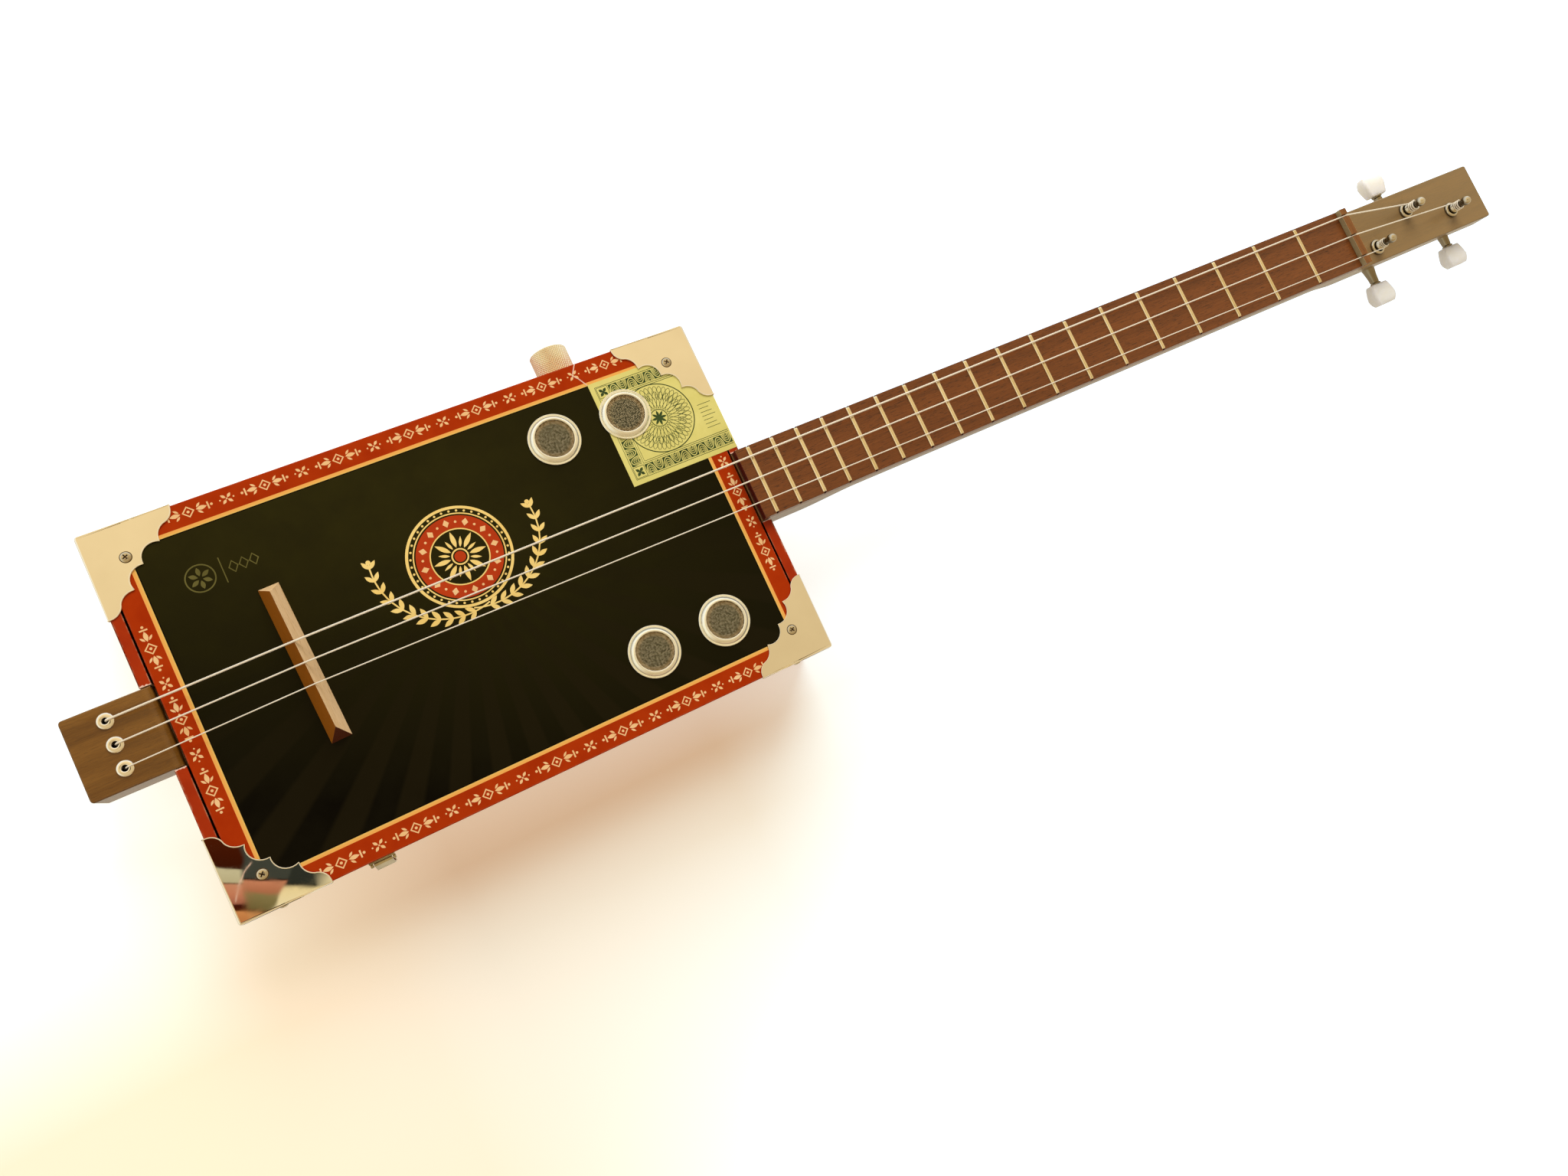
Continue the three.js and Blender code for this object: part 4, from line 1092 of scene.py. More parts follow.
def medallion():
    """A sun rosette in a beaded ring between two leafy sprays."""
    centre = rosette["centre"]
    x, y = centre
    place = shift(0, 0, face)
    gold = Ink()
    gold.circle(centre, rosette["rim"], rosette["rim_line"], 96)
    gold.circle(centre, rosette["inner_rim"], rosette["inner_line"], 96)
    for i in range(rosette["beads"]):
        angle = 2 * math.pi * i / rosette["beads"]
        reach = (rosette["rim"] + rosette["inner_rim"]) / 2 - rosette["bead_shift"]
        gold.dot((x + math.cos(angle) * reach, y + math.sin(angle) * reach), rosette["bead"], 10)
    gold.circle(centre, rosette["red_inner"] - rosette["red_gap"], rosette["inner_line"], 72)
    root = rosette["ray_root"]
    long_ray = (rosette["petal"] - root, rosette["long_width"])
    for i in range(rosette["rays"]):
        angle = 360 * i / rosette["rays"]
        start = (x + root * math.cos(math.radians(angle)), y + root * math.sin(math.radians(angle)))
        ray = rosette["short_ray"] if i % 2 else long_ray
        gold.leaf(start, angle, *ray, bow=rosette["ray_bow"])
    gold.circle(centre, rosette["eye"], rosette["eye_line"], 40)
    for side in (-1, 1):
        spray(gold, x, y, side)
    gold.laid("medallion_gold", gold_ink, "lid_print", place)

    red = Ink()
    middle = (rosette["red_outer"] + rosette["red_inner"]) / 2
    red.circle(centre, middle, rosette["red_outer"] - rosette["red_inner"], 96)
    red.dot(centre, rosette["eye"] - rosette["eye_gap"], 28)
    red.laid("medallion_red", red_ink, "lid_print", place)

    pale = Ink()
    half_length, half_width = rosette["lozenge"]
    for i in range(rosette["lozenges"]):
        angle = 2 * math.pi * i / rosette["lozenges"]
        spot = Vector((x + math.cos(angle) * middle, y + math.sin(angle) * middle))
        along = Vector((math.cos(angle), math.sin(angle))) * half_length
        across = Vector((-math.sin(angle), math.cos(angle))) * half_width
        pale.shape([tuple(p) for p in (spot + along, spot + across, spot - along, spot - across)])
        half_way = angle + math.pi / rosette["lozenges"]
        pale.dot((x + math.cos(half_way) * middle, y + math.sin(half_way) * middle), rosette["dot"], 10)
    pale.laid("medallion_cream", cream_ink, "lid_print", shift(0, 0, face + ink_depth))


spray_sizes = {
    "steps": 24,
    "start": -98,
    "sweep": 118,
    "reach": 27.0,
    "growth": 13.5,
    "squash": 0.92,
    "stem": 0.7,
    "splay": 38,
    "leaf": (6.0, 2.3),
    "full_share": 0.45,
    "thinning": 0.35,
    "tip": 1.1,
}


def spray(ink, x, y, side):
    """A curved stem with paired leaves, rising from under the rosette."""
    steps = spray_sizes["steps"]
    points = []
    for i in range(steps + 1):
        share = i / steps
        angle = math.radians(spray_sizes["start"] + spray_sizes["sweep"] * share)
        reach = spray_sizes["reach"] + spray_sizes["growth"] * share
        height = math.sin(angle) * reach * spray_sizes["squash"]
        points.append((x + side * math.cos(angle) * reach, y + height))
    ink.stroke(points, spray_sizes["stem"])
    for i in range(3, steps, 2):
        here, after = Vector(points[i]), Vector(points[i + 1])
        heading = math.degrees(math.atan2(after.y - here.y, after.x - here.x))
        size = 1.0 - spray_sizes["thinning"] * abs(i / steps - spray_sizes["full_share"])
        length, width = [part * size for part in spray_sizes["leaf"]]
        for way in (-1, 1):
            ink.leaf(tuple(here), heading + way * spray_sizes["splay"], length, width)
    ink.dot(points[-1], spray_sizes["tip"], 14)


sprig = {
    "centre": (-105.0, 54.0),
    "petals": 6,
    "root": 1.0,
    "petal": (4.0, 1.9),
    "ring": 6.1,
    "rule_at": 9.5,
    "rule_half": 6,
    "rule": 0.45,
    "lozenge_at": 14.0,
    "pitch": 4.4,
    "lozenge": (1.9, 2.6),
    "line": 0.6,
}


def small_print():
    """A dim sprig, a rule and three lozenges near the tail's bass corner."""
    ink = Ink()
    x, y = sprig["centre"]
    root, rule_x, rule_half = sprig["root"], x + sprig["rule_at"], sprig["rule_half"]
    for i in range(sprig["petals"]):
        angle = 360 / sprig["petals"] * (i + 0.5)
        start = (x + root * math.cos(math.radians(angle)), y + root * math.sin(math.radians(angle)))
        ink.leaf(start, angle, *sprig["petal"])
    ink.circle((x, y), sprig["ring"], sprig["line"], 40)
    ink.stroke([(rule_x, y - rule_half), (rule_x, y + rule_half)], sprig["rule"])
    for i in range(3):
        ink.lozenge_ring((x + sprig["lozenge_at"] + i * sprig["pitch"], y), *sprig["lozenge"], sprig["line"])
    ink.laid("small_print", olive_ink, "lid_print", shift(0, 0, face))


# Paper label over the head's bass corner, its sizes in millimetres on the lid
label = {
    "left": 86.8,
    "bottom": 21.2,
    "top": 76.6,
    "right": 143.5,
    "drop": 9.0,
    "ragged": 0.7,
    "margin": 2.6,
    "border": 6.6,
    "open_end": 0.8,
    "line": 0.3,
    "frame_gap": 0.9,
    "frame_line": 0.28,
    "strip_inset": 0.7,
    "square_inset": 0.5,
    "square_leaf": (2.6, 1.5),
    "square_dot": 0.5,
    "rosette_at": 17.0,
    "rules": 7,
    "rule_start": 5.0,
    "rule_pitch": 2.1,
    "rule_at": 20.5,
    "rule_end": 2.0,
    "rule_line": 0.24,
}


def label_sheet():
    """The label's paper, folded down over the end of the box."""
    bm = bmesh.new()
    round_edge = paper["edge"]
    left, right = label["left"] * mm, label["right"] * mm
    low, high = label["bottom"] * mm, label["top"] * mm
    random.seed(7)
    up = Vector((0, 0, 1))
    path = [(left, face, up), (left + (right - left) / 2, face, up), (right - round_edge, face, up)]
    fold_steps = 4
    for i in range(1, fold_steps + 1):
        angle = math.pi / 2 * i / fold_steps
        x = right - round_edge + math.sin(angle) * round_edge
        z = face - round_edge + math.cos(angle) * round_edge
        path.append((x, z, Vector((math.sin(angle), 0, math.cos(angle)))))
    path.append((right, face - label["drop"] * mm, Vector((1, 0, 0))))
    rows = 12
    rings = []
    for k in range(rows + 1):
        y = low + (high - low) * k / rows
        ragged = random.uniform(-label["ragged"], label["ragged"]) * mm
        outer, inner = [], []
        for i, (x, z, out) in enumerate(path):
            at_end = i == len(path) - 1
            base = Vector((x, y, z + ragged if at_end else z)) + out * hair
            inner.append(base)
            outer.append(base + out * paper["depth"])
        rings.append(outer + list(reversed(inner)))
    skin(bm, rings)
    return piece("label_paper", mesh_of(bm, "label_paper", 50), label_paper, "root", ())


scroll = {
    "pitch_share": 0.9,
    "height_share": 0.92,
    "arc_shares": ((0.97, 0.42), (0.72, 0.3), (0.5, 0.3), (0.26, 0.3)),
    "steps": 14,
}


def scroll_row(ink, start, end, width):
    """Pale scallops of nested arcs over a dark strip, turned up and down by turns."""
    start, end = Vector(start), Vector(end)
    count = round((end - start).length / (width * scroll["pitch_share"]))
    step = (end - start) / count
    across = Vector((-step.y, step.x)).normalized()
    half, height = step.length / 2, width * scroll["height_share"]
    for i in range(count):
        flip = 1 if i % 2 == 0 else -1
        base = start + step * (i + 0.5) - across * flip * width / 2
        for share, thick in scroll["arc_shares"]:
            points = []
            for k in range(scroll["steps"] + 1):
                angle = math.pi * k / scroll["steps"]
                along = step.normalized() * math.cos(angle) * half * share
                points.append(tuple(base + along + across * flip * math.sin(angle) * height * share))
            ink.stroke(points, thick)


weave = {
    "waves": ((9, 5.0, 13.6), (14, 9.5, 16.4)),
    "phases": 3,
    "phase": 2.1,
    "steps": 240,
    "line": 0.22,
    "rim": (17.6, 0.5),
    "eye": (4.4, 0.4),
    "petals": 8,
    "petal": (4.0, 1.3),
}


def woven_rosette(ink, centre):
    """Crossing waves in a ring, round a small flower."""
    for count, inner, outer in weave["waves"]:
        for phase in range(weave["phases"]):
            points = []
            for k in range(weave["steps"]):
                angle = 2 * math.pi * k / weave["steps"]
                wave = math.sin(count * angle + phase * weave["phase"])
                reach = (inner + outer) / 2 + (outer - inner) / 2 * wave
                points.append((centre[0] + math.cos(angle) * reach, centre[1] + math.sin(angle) * reach))
            ink.stroke(points, weave["line"], True)
    ink.circle(centre, *weave["rim"], 72)
    ink.circle(centre, *weave["eye"], 40)
    for i in range(weave["petals"]):
        ink.leaf(centre, 360 / weave["petals"] * i, *weave["petal"])


def corner_flower(ink, x, y):
    """Four leaves in a square, at a corner of the label's border."""
    border = label["border"]
    near, far = label["square_inset"], border - label["square_inset"]
    square = [(x + near, y + near), (x + far, y + near), (x + far, y + far), (x + near, y + far)]
    ink.stroke(square, label["line"], True)
    centre = (x + border / 2, y + border / 2)
    for quarter in range(4):
        ink.leaf(centre, 45 + 90 * quarter, *label["square_leaf"])
    ink.dot(centre, label["square_dot"], 10)


def label_print():
    """The label's ink: a scroll border, a turned rosette, and plain lines beside it."""
    ink, pale = Ink(), Ink()
    margin, border = label["margin"], label["border"]
    left, right = label["left"] + margin, label["right"] - label["open_end"]
    low, high = label["bottom"] + margin, label["top"] - margin
    inner_left, inner_low, inner_high = left + border, low + border, high - border
    ink.stroke([(right, low), (left, low), (left, high), (right, high)], label["line"])
    for gap in (0.0, label["frame_gap"]):
        x, bottom, top = inner_left + gap, inner_low + gap, inner_high - gap
        ink.stroke([(right, bottom), (x, bottom), (x, top), (right, top)], label["frame_line"])
    inset = label["strip_inset"]
    wide = border - 2 * inset
    for y in (low + inset, inner_high + inset):
        ink.shape([(inner_left, y), (right, y), (right, y + wide), (inner_left, y + wide)])
        scroll_row(pale, (inner_left, y + wide / 2), (right, y + wide / 2), wide)
    x = left + inset
    ink.shape([(x, inner_low), (x + wide, inner_low), (x + wide, inner_high), (x, inner_high)])
    scroll_row(pale, (x + wide / 2, inner_low), (x + wide / 2, inner_high), wide)
    for y in (low, high - border):
        corner_flower(ink, left, y)
    centre = (inner_left + label["rosette_at"], (low + high) / 2)
    woven_rosette(ink, centre)
    for i in range(label["rules"]):
        y = inner_low + label["rule_start"] + i * label["rule_pitch"]
        start, end = centre[0] + label["rule_at"], right - label["rule_end"] - i % 3
        ink.stroke([(start, y), (end, y)], label["rule_line"])
    lift = face + paper["depth"] + hair
    ink.laid("label_print", green_ink, "box_paper", shift(0, 0, lift))
    pale.laid("label_scrolls", label_paper, "box_paper", shift(0, 0, lift + ink_depth))


def torn_line():
    """A torn crease in the paper, from the lid's edge to the label's corner."""
    ink = Ink()
    ink.stroke([(85.3, 88.7), (83.6, 86.0), (82.0, 83.6), (84.3, 81.0), (86.8, 76.6)], 0.5)
    ink.laid("torn_crease", torn_paper, "lid_print", shift(0, 0, face + ink_depth))


# Corner brackets
def arc_between(start, end, radius, way):
    """Points of an arc between two points, hollow side left of the way for 1 and right for -1."""
    steps = 10
    start, end = Vector(start), Vector(end)
    half = (end - start) / 2
    normal = Vector((-half.y, half.x)).normalized()
    rise = math.sqrt(max(radius**2 - half.length_squared, 0))
    centre = (start + end) / 2 + normal * way * rise
    first = math.atan2(start.y - centre.y, start.x - centre.x)
    sweep = way * 2 * math.asin(min(half.length / radius, 1))
    angles = [first + sweep * i / steps for i in range(1, steps)]
    return [(centre.x + math.cos(a) * radius, centre.y + math.sin(a) * radius) for a in angles]


def bracket_edge():
    """The scalloped edge from one leg's tip to the other's."""
    leg = bracket["leg"]
    tip = (leg, 0.0)
    lobe_end = tuple(leg * share for share in bracket_shares["lobe_end"])
    outer = tuple(leg * share for share in bracket_shares["outer_cusp"])
    middle = (leg * bracket_shares["middle_cusp"],) * 2
    half = [tip, *arc_between(tip, lobe_end, bracket["lobe"], 1), lobe_end]
    half += [*arc_between(lobe_end, outer, bracket["scoop"], -1), outer]
    half += arc_between(outer, middle, bracket["scoop"], -1)
    return [*half, middle, *[(b, a) for a, b in reversed(half)]]


def bracket_mesh():
    """One bracket for the corner at the origin, with the box on its +X, +Y and -Z sides."""
    bm = bmesh.new()
    sheet = bracket["sheet"]
    bend, leg = -sheet, bracket["leg"]
    edge = bracket_edge()
    planes = {
        "top": lambda a, b: (a, b, sheet),
        "end": lambda a, b: (bend, a, -b),
        "side": lambda a, b: (a, bend, -b),
    }
    corner = bm.verts.new((bend, bend, sheet))
    tips = {
        "x": bm.verts.new((leg, bend, sheet)),
        "y": bm.verts.new((bend, leg, sheet)),
        "z": bm.verts.new((bend, bend, -leg)),
    }
    order = {"top": ("x", "y"), "end": ("y", "z"), "side": ("x", "z")}
    for name, put in planes.items():
        first, last = order[name]
        middle = [bm.verts.new(put(a, b)) for a, b in edge]
        bm.faces.new([corner, tips[first], *middle, tips[last]])
    bends = [e for e in bm.edges if corner in e.verts]
    bmesh.ops.bevel(bm, geom=bends, offset=bracket["bend"], segments=4, profile=0.5, affect="EDGES")
    bmesh.ops.recalc_face_normals(bm, faces=bm.faces)
    top = max(bm.faces, key=lambda one: one.calc_center_median().z)
    if top.normal.z < 0:
        bmesh.ops.reverse_faces(bm, faces=bm.faces)
    mesh = bpy.data.meshes.new("bracket")
    bm.to_mesh(mesh)
    bm.free()
    made = modified(
        mesh,
        ("SOLIDIFY", {"thickness": sheet, "offset": -1}),
        ("BEVEL", {"width": bracket["edge"], "segments": 2, "angle_limit": math.radians(50)}),
    )
    bm = bmesh.new()
    bm.from_mesh(made)
    inward = {"top": (0, 0, -1), "end": (1, 0, 0), "side": (0, 1, 0)}
    rim, over = bracket["rim"], -bracket["overrun"]
    run = [(leg, over), *edge, (over, leg)]
    for name, put in planes.items():
        sunk = Vector(inward[name]) * rim * bracket["rim_sunk_share"]
        tube(bm, [Vector(put(a, b)) + sunk for a, b in run], rim, 12, inward[name])
    bm.to_mesh(made)
    bm.free()
    return shaded(made, 40)


def screw_mesh():
    """A pan-head screw with a crossed recess, standing on the plane z = 0."""
    radius, rise, base, wall = screw["radius"], screw["rise"], screw["base"], screw["wall_share"]
    shank = radius * screw["shank_share"]
    profile = [(0, -screw["below"]), (shank, -screw["below"]), (shank, 0), (base, 0)]
    profile += [(base, screw["foot_edge"]), (radius, screw["foot"])]
    for i in range(1, 9):
        angle = math.pi / 2 * i / 8
        reach = radius * math.cos(angle) ** 0.7 if i < 8 else 0
        profile.append((reach, rise * (wall + (1 - wall) * math.sin(angle))))
    bm = bmesh.new()
    lathe(bm, profile, 36)
    head = mesh_of(bm, "screw")
    cutter = bmesh.new()
    half, arm = screw["slot"] / 2, screw["arm"]
    quarter = [(half, half), (arm, half), (arm, -half)]
    cross = []
    for turns in range(4):
        for x, y in reversed(quarter):
            for _ in range(turns):
                x, y = -y, x
            cross.append((x, y))
    slab(cutter, cross, rise - screw["depth"], rise * 2)
    return carved(head, mesh_of(cutter, "cross"), 30)


screw_head = screw_mesh()


def brackets():
    base = bracket_mesh()
    sheet = bracket["sheet"]
    for name in corners:
        end = -1 if name.startswith("tail") else 1
        side = -1 if name.endswith("treble") else 1
        place = turned_at(shift(end * box_end, side * box_side, face), Matrix.Diagonal((-end, -side, 1, 1)))
        made = placed_copy(base, place, end * side < 0)
        piece(f"bracket_{name}_fine", made, chrome, "root", (f"bracket_{name}",))
        random.seed(name)
        spin = turn(random.uniform(0, 90), "Z")
        inset_x = end * (box_end - screw_inset)
        inset_y = side * (box_side - screw_inset)
        spots = {
            "top": shift(inset_x, inset_y, face + sheet),
            "end": shift(end * (box_end + sheet), inset_y, face - screw_inset) @ turn(90 * end, "Y"),
            "side": shift(inset_x, side * (box_side + sheet), face - screw_inset) @ turn(-90 * side, "X"),
        }
        for where, spot in spots.items():
            size = Matrix.Scale(1.0 if where == "top" else screw["small_scale"], 4)
            place = spot @ spin @ size
            piece(f"screw_{name}_{where}", screw_head, screw_metal, "root", (), place)


# Sound ports
def port_ring(x, y, low):
    """The ring with its rolled rim and its dome, and the sleeve through the lid."""
    ring_low, ring_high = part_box("sound_port_bass_tail")
    radius = (ring_high.x - ring_low.x) / 2
    rise = ring_high.z - face
    groove, sleeve, rim, crown = port["groove"], port["sleeve"], port["rim"], port["crown"]
    inner = sleeve - port["wall"]
    profile = [(inner, low), (sleeve, low), (sleeve, face - hair), (radius - rim, face)]
    for i in range(1, 8):
        angle = math.radians(-90 + 30 * i)
        profile.append((radius - rim + rim * math.cos(angle), face + rim + rim * math.sin(angle)))
    foot, foot_height = radius - port["foot_share"] * rim, port["foot_rise_share"] * rim
    for i in range(13):
        share = i / 12
        height = foot_height + (rise - foot_height) * (1 - (1 - share) ** 1.6)
        profile.append((foot + (crown - foot) * share, face + height))
    roll = crown - groove
    for i in range(1, 7):
        angle = math.pi / 2 * i / 6
        drop = roll * port["roll_share"] * (1 - math.cos(angle))
        profile.append((crown - roll * math.sin(angle), face + rise - drop))
    profile += [(groove, face + port["shoulder"]), (inner, face)]
    bm = bmesh.new()
    lathe(bm, profile, 96, shift(x, y, 0), closed=True)
    return mesh_of(bm, "port_ring", 28)


flange_ease = {"across": 0.15 * mm, "down": 0.1 * mm}
# The cloth's rim, across and up from the flange's, in millimetres
cloth_edge = ((-0.2, 0), (0, 0.08), (-0.3, 0.16))


def port_flange():
    """The flat flange that the screen is pressed on, and the dark cloth below it, about the Z axis."""
    top, outer, inner = port["flange_top"], port["groove"] - port["gap"], port["flange"]
    low = top - port["flange_depth"]
    profile = [(inner, low), (outer, low), (outer, top), (inner + flange_ease["across"], top)]
    bm = bmesh.new()
    lathe(bm, [*profile, (inner, top - flange_ease["down"])], 72, closed=True)
    flange = mesh_of(bm, "port_flange", 30)
    bm = bmesh.new()
    edge = [(outer + across, up) for across, up in in_mm(cloth_edge)]
    lathe(bm, [(0, 0), *edge, (0, port["cloth"])], 48)
    return flange, mesh_of(bm, "port_cloth", 40)


def screen_lift(reach):
    """The screen's height over its rim: it drops to the rim from a flat middle."""
    flat = 0.6
    share = min(max((reach - flat) / (1 - flat), 0), 1)
    return port["screen_drop"] * (1 - share * share)


def screen_mesh():
    """A disc of wires woven over and under each other, pressed down at the rim."""
    bm = bmesh.new()
    radius, pitch, wire = port["groove"], port["pitch"], port["wire"]
    count = int(radius / pitch)
    for turned in (False, True):
        for i in range(-count, count + 1):
            across = i * pitch
            reach = int(math.sqrt(radius**2 - across**2) / pitch)
            points = []
            for k in range(-reach, reach + 1):
                along = k * pitch
                over = 1 if (i + k) % 2 == 0 else -1
                lift = over * (-1 if turned else 1) * wire * 0.6
                drop = screen_lift(math.hypot(along, across) / radius)
                point = (across, along) if turned else (along, across)
                points.append((*point, lift + drop))
            if len(points) > 1:
                tube(bm, points, wire, 6)
    return mesh_of(bm, "woven_screen", 60)


def sound_ports():
    woven = screen_mesh()
    flange, cloth = port_flange()
    for name in ports:
        node_name = f"sound_port_{name}"
        low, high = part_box(node_name)
        middle = (low + high) / 2
        ring = port_ring(middle.x, middle.y, low.z)
        piece(f"{node_name}_ring", ring, ring_chrome, "root", (node_name,))
        place = shift(middle.x, middle.y, face)
        piece(f"{node_name}_flange", flange, flange_metal, "root", (), place)
        piece(f"{node_name}_cloth", cloth, port_cloth, "root", (), place)
        place = shift(middle.x, middle.y, face + port["screen"]) @ turn(port["weave_degrees"], "Z")
        piece(f"{node_name}_screen", woven, mesh_metal, "root", (), place)


# Neck
def smooth_share(share):
    share = min(max(share, 0.0), 1.0)
    return share * share * (3 - 2 * share)


plain_steps = {"tail": 30 * mm, "head": 20 * mm}


def neck_stations():
    """Places along the neck where a section is drawn, close together where it changes."""
    beside = 0.01 * mm
    tail, tip = neck_low.x, neck_high.x
    cove_start = nut_high.x + neck["cove_gap"]
    cove_end = cove_start + neck["cove"]
    heel = box_end + neck["heel"]
    handle_end = nut_low.x - neck["blend"]
    inner = box_end - panel
    slot = inner + neck["lid_slot"]
    places = [tail + neck["corner"] + plain_steps["tail"]]
    for i in range(13):
        reach = neck["corner"] * (1 - math.cos(math.pi / 2 * i / 12))
        places += [tail + reach, tip - reach]
    places += [-box_end, -slot - beside, -slot, inner, inner + beside, board_low.x]
    places += [heel + neck["blend"] * i / 12 for i in range(13)]
    places += [handle_end + neck["blend"] * i / 12 for i in range(13)]
    places += [cove_start - beside, cove_start]
    places += [cove_start + neck["cove"] * (1 - math.cos(math.pi / 2 * i / 8)) for i in range(1, 9)]
    places += [cove_end + plain_steps["head"] * i for i in range(1, 6)]
    return sorted(set(round(place, 7) for place in places))


def neck_section(x):
    """The section's outline at x, as a ring of points."""
    tail, tip = neck_low.x, neck_high.x
    cove_start = nut_high.x + neck["cove_gap"]
    inner = box_end - panel
    slot = inner + neck["lid_slot"]
    from_end = min(x - tail, tip - x)
    corner = neck["corner"]
    half = neck_side
    if from_end < corner:
        half -= corner - math.sqrt(max(corner**2 - (corner - from_end) ** 2, 0))
    shave = 0.0
    if from_end < neck["edge"]:
        shave = neck["edge"] - math.sqrt(max(neck["edge"] ** 2 - (neck["edge"] - from_end) ** 2, 0))
    top = face
    if -slot <= x <= inner:
        top = face - neck["relief"]
    elif x >= cove_start:
        over = min(x - cove_start, neck["cove"])
        top = face - math.sqrt(max(neck["cove"] ** 2 - (neck["cove"] - over) ** 2, 0))
    bare_top = x < -slot or x >= cove_start
    top_edge = neck["edge"] if bare_top else neck["board_edge"]
    rise = smooth_share((x - box_end - neck["heel"]) / neck["blend"])
    fall = smooth_share((nut_low.x - x) / neck["blend"])
    back = neck["edge"] + (neck["back_round"] - neck["edge"]) * min(rise, fall)
    back = min(back, half)
    top, low = top - shave, neck_low.z + shave
    ring = []

    def arc(centre_y, centre_z, radius, first, steps):
        for i in range(steps + 1):
            angle = math.radians(first + 90 * i / steps)
            ring.append(Vector((x, centre_y + math.cos(angle) * radius, centre_z + math.sin(angle) * radius)))

    arc(half - top_edge, top - top_edge, top_edge, 0, 4)
    arc(-half + top_edge, top - top_edge, top_edge, 90, 4)
    arc(-half + back, low + back, back, 180, 10)
    arc(half - back, low + back, back, 270, 10)
    return ring


# Radii, levels and depths of the neck's holes, in millimetres
drills = {
    "low": -10,
    "high": 60,
    "ball": 2.4,
    "ball_depth": 6,
    "string": 1.5,
    "ferrule": 3.0,
    "ferrule_floor": 45,
    "post": 3.4,
    "bushing": 4.3,
    "bushing_floor": 35.5,
}


def drilled(cutter, name, steps):
    """Adds a stepped drill at a node's middle to the cutter, its steps each a radius and an upper end."""
    low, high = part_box(name)
    spot = (low + high) / 2
    level = drills["low"]
    profile = [(0, level)]
    for radius, upper in steps:
        profile += [(radius, level), (radius, upper)]
        level = upper
    lathe(cutter, in_mm([*profile, (0, level)]), 28, shift(spot.x, spot.y, 0))


def neck_piece():
    bm = bmesh.new()
    skin(bm, [neck_section(x) for x in neck_stations()])
    blank = mesh_of(bm, "neck", 32)
    cutter = bmesh.new()
    ball = (drills["ball"], neck_low.z / mm + drills["ball_depth"])
    string = (drills["string"], drills["ferrule_floor"])
    for name in strings:
        drilled(cutter, f"ferrule_{name}", (ball, string, (drills["ferrule"], drills["high"])))
        post = (drills["post"], drills["bushing_floor"])
        drilled(cutter, f"post_bushing_{name}", (post, (drills["bushing"], drills["high"])))
    piece("neck_fine", carved(blank, mesh_of(cutter, "drills")), walnut, "root", ("neck",))


def board_edge(edge):
    ends = [vert.co for vert in edge.verts]
    on_top = all(abs(co.z - board_high.z) < edge_reach / 2 for co in ends)
    return on_top and all(abs(abs(co.y) - neck_side) < edge_reach / 2 for co in ends)


def fretboard():
    softened("fretboard", 0.35 * mm, mahogany, segments=3, chosen=board_edge)


# Millimetres in from the wire's end, and the share of its full height there
fret_ends = ((0.0, 0.45), (0.25, 0.75), (0.7, 0.95), (1.3, 1.0))


def fret_mesh(name):
    """A crowned fret wire with its ends rounded over, and its tang in the slot."""
    low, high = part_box(name)
    middle_x = (low.x + high.x) / 2
    half_width, half_length = (high.x - low.x) / 2, (high.y - low.y) / 2
    height = high.z - board_high.z
    tang = 0.3 * mm
    foot = ((-tang, board_high.z), (-tang, low.z), (tang, low.z), (tang, board_high.z))
    stations = [(-1.0, *end) for end in fret_ends] + [(1.0, *end) for end in reversed(fret_ends)]
    bm = bmesh.new()
    rings = []
    for side, back, size in stations:
        y = side * (half_length - back * mm)
        width = half_width * (0.75 + size / 4)
        ring = []
        for i in range(15):
            angle = math.pi * i / 14
            lift = math.sin(angle) ** 0.8 * height * size
            ring.append(Vector((middle_x + math.cos(angle) * width, y, board_high.z + lift)))
        rings.append(ring + [Vector((middle_x + x, y, z)) for x, z in foot])
    skin(bm, rings)
    return mesh_of(bm, name, 40)


def frets():
    for number in range(1, 19):
        name = f"fret_{number:02d}"
        piece(f"{name}_crown", fret_mesh(name), nickel, "root", (name,))


def nut_and_bridge():
    softened("nut", 0.2 * mm, nut_wood)
    softened("bridge", 0.15 * mm, bridge_wood)


# Ferrules, strings and tuners
ferrule = {"bore": 1.3 * mm, "wall": 1.2 * mm, "lip": 0.5 * mm, "ease": 0.2 * mm}


def ferrules():
    bore, wall = ferrule["bore"], ferrule["wall"]
    for name in strings:
        low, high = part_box(f"ferrule_{name}")
        middle = (low + high) / 2
        flange, rise = (high.x - low.x) / 2, high.z - face
        profile = [(bore, low.z), (bore + wall, low.z), (bore + wall, face), (flange, face)]
        for i in range(1, 9):
            angle = math.pi / 2 * i / 8
            reach = flange - (flange - bore - ferrule["lip"]) * (1 - math.cos(angle))
            profile.append((reach, face + rise * (0.12 + 0.88 * math.sin(angle))))
        profile += [(bore + ferrule["ease"], high.z - rise * 0.12), (bore, high.z - rise * 0.4), (bore, face)]
        bm = bmesh.new()
        lathe(bm, profile, 48, shift(middle.x, middle.y, 0), closed=True)
        node_name = f"ferrule_{name}"
        piece(f"{node_name}_fine", mesh_of(bm, "ferrule", 40), chrome, "root", (node_name,))


winding = {"turns": 3, "gap": 0.45 * mm, "start": 4.4 * mm, "steps": 40, "clear": 0.3 * mm, "waist": 2 * mm}
seat = {"notch": 0.6 * mm, "slot": 1.7 * mm, "gap": 0.08 * mm}
bridge_lean = 0.7 * mm


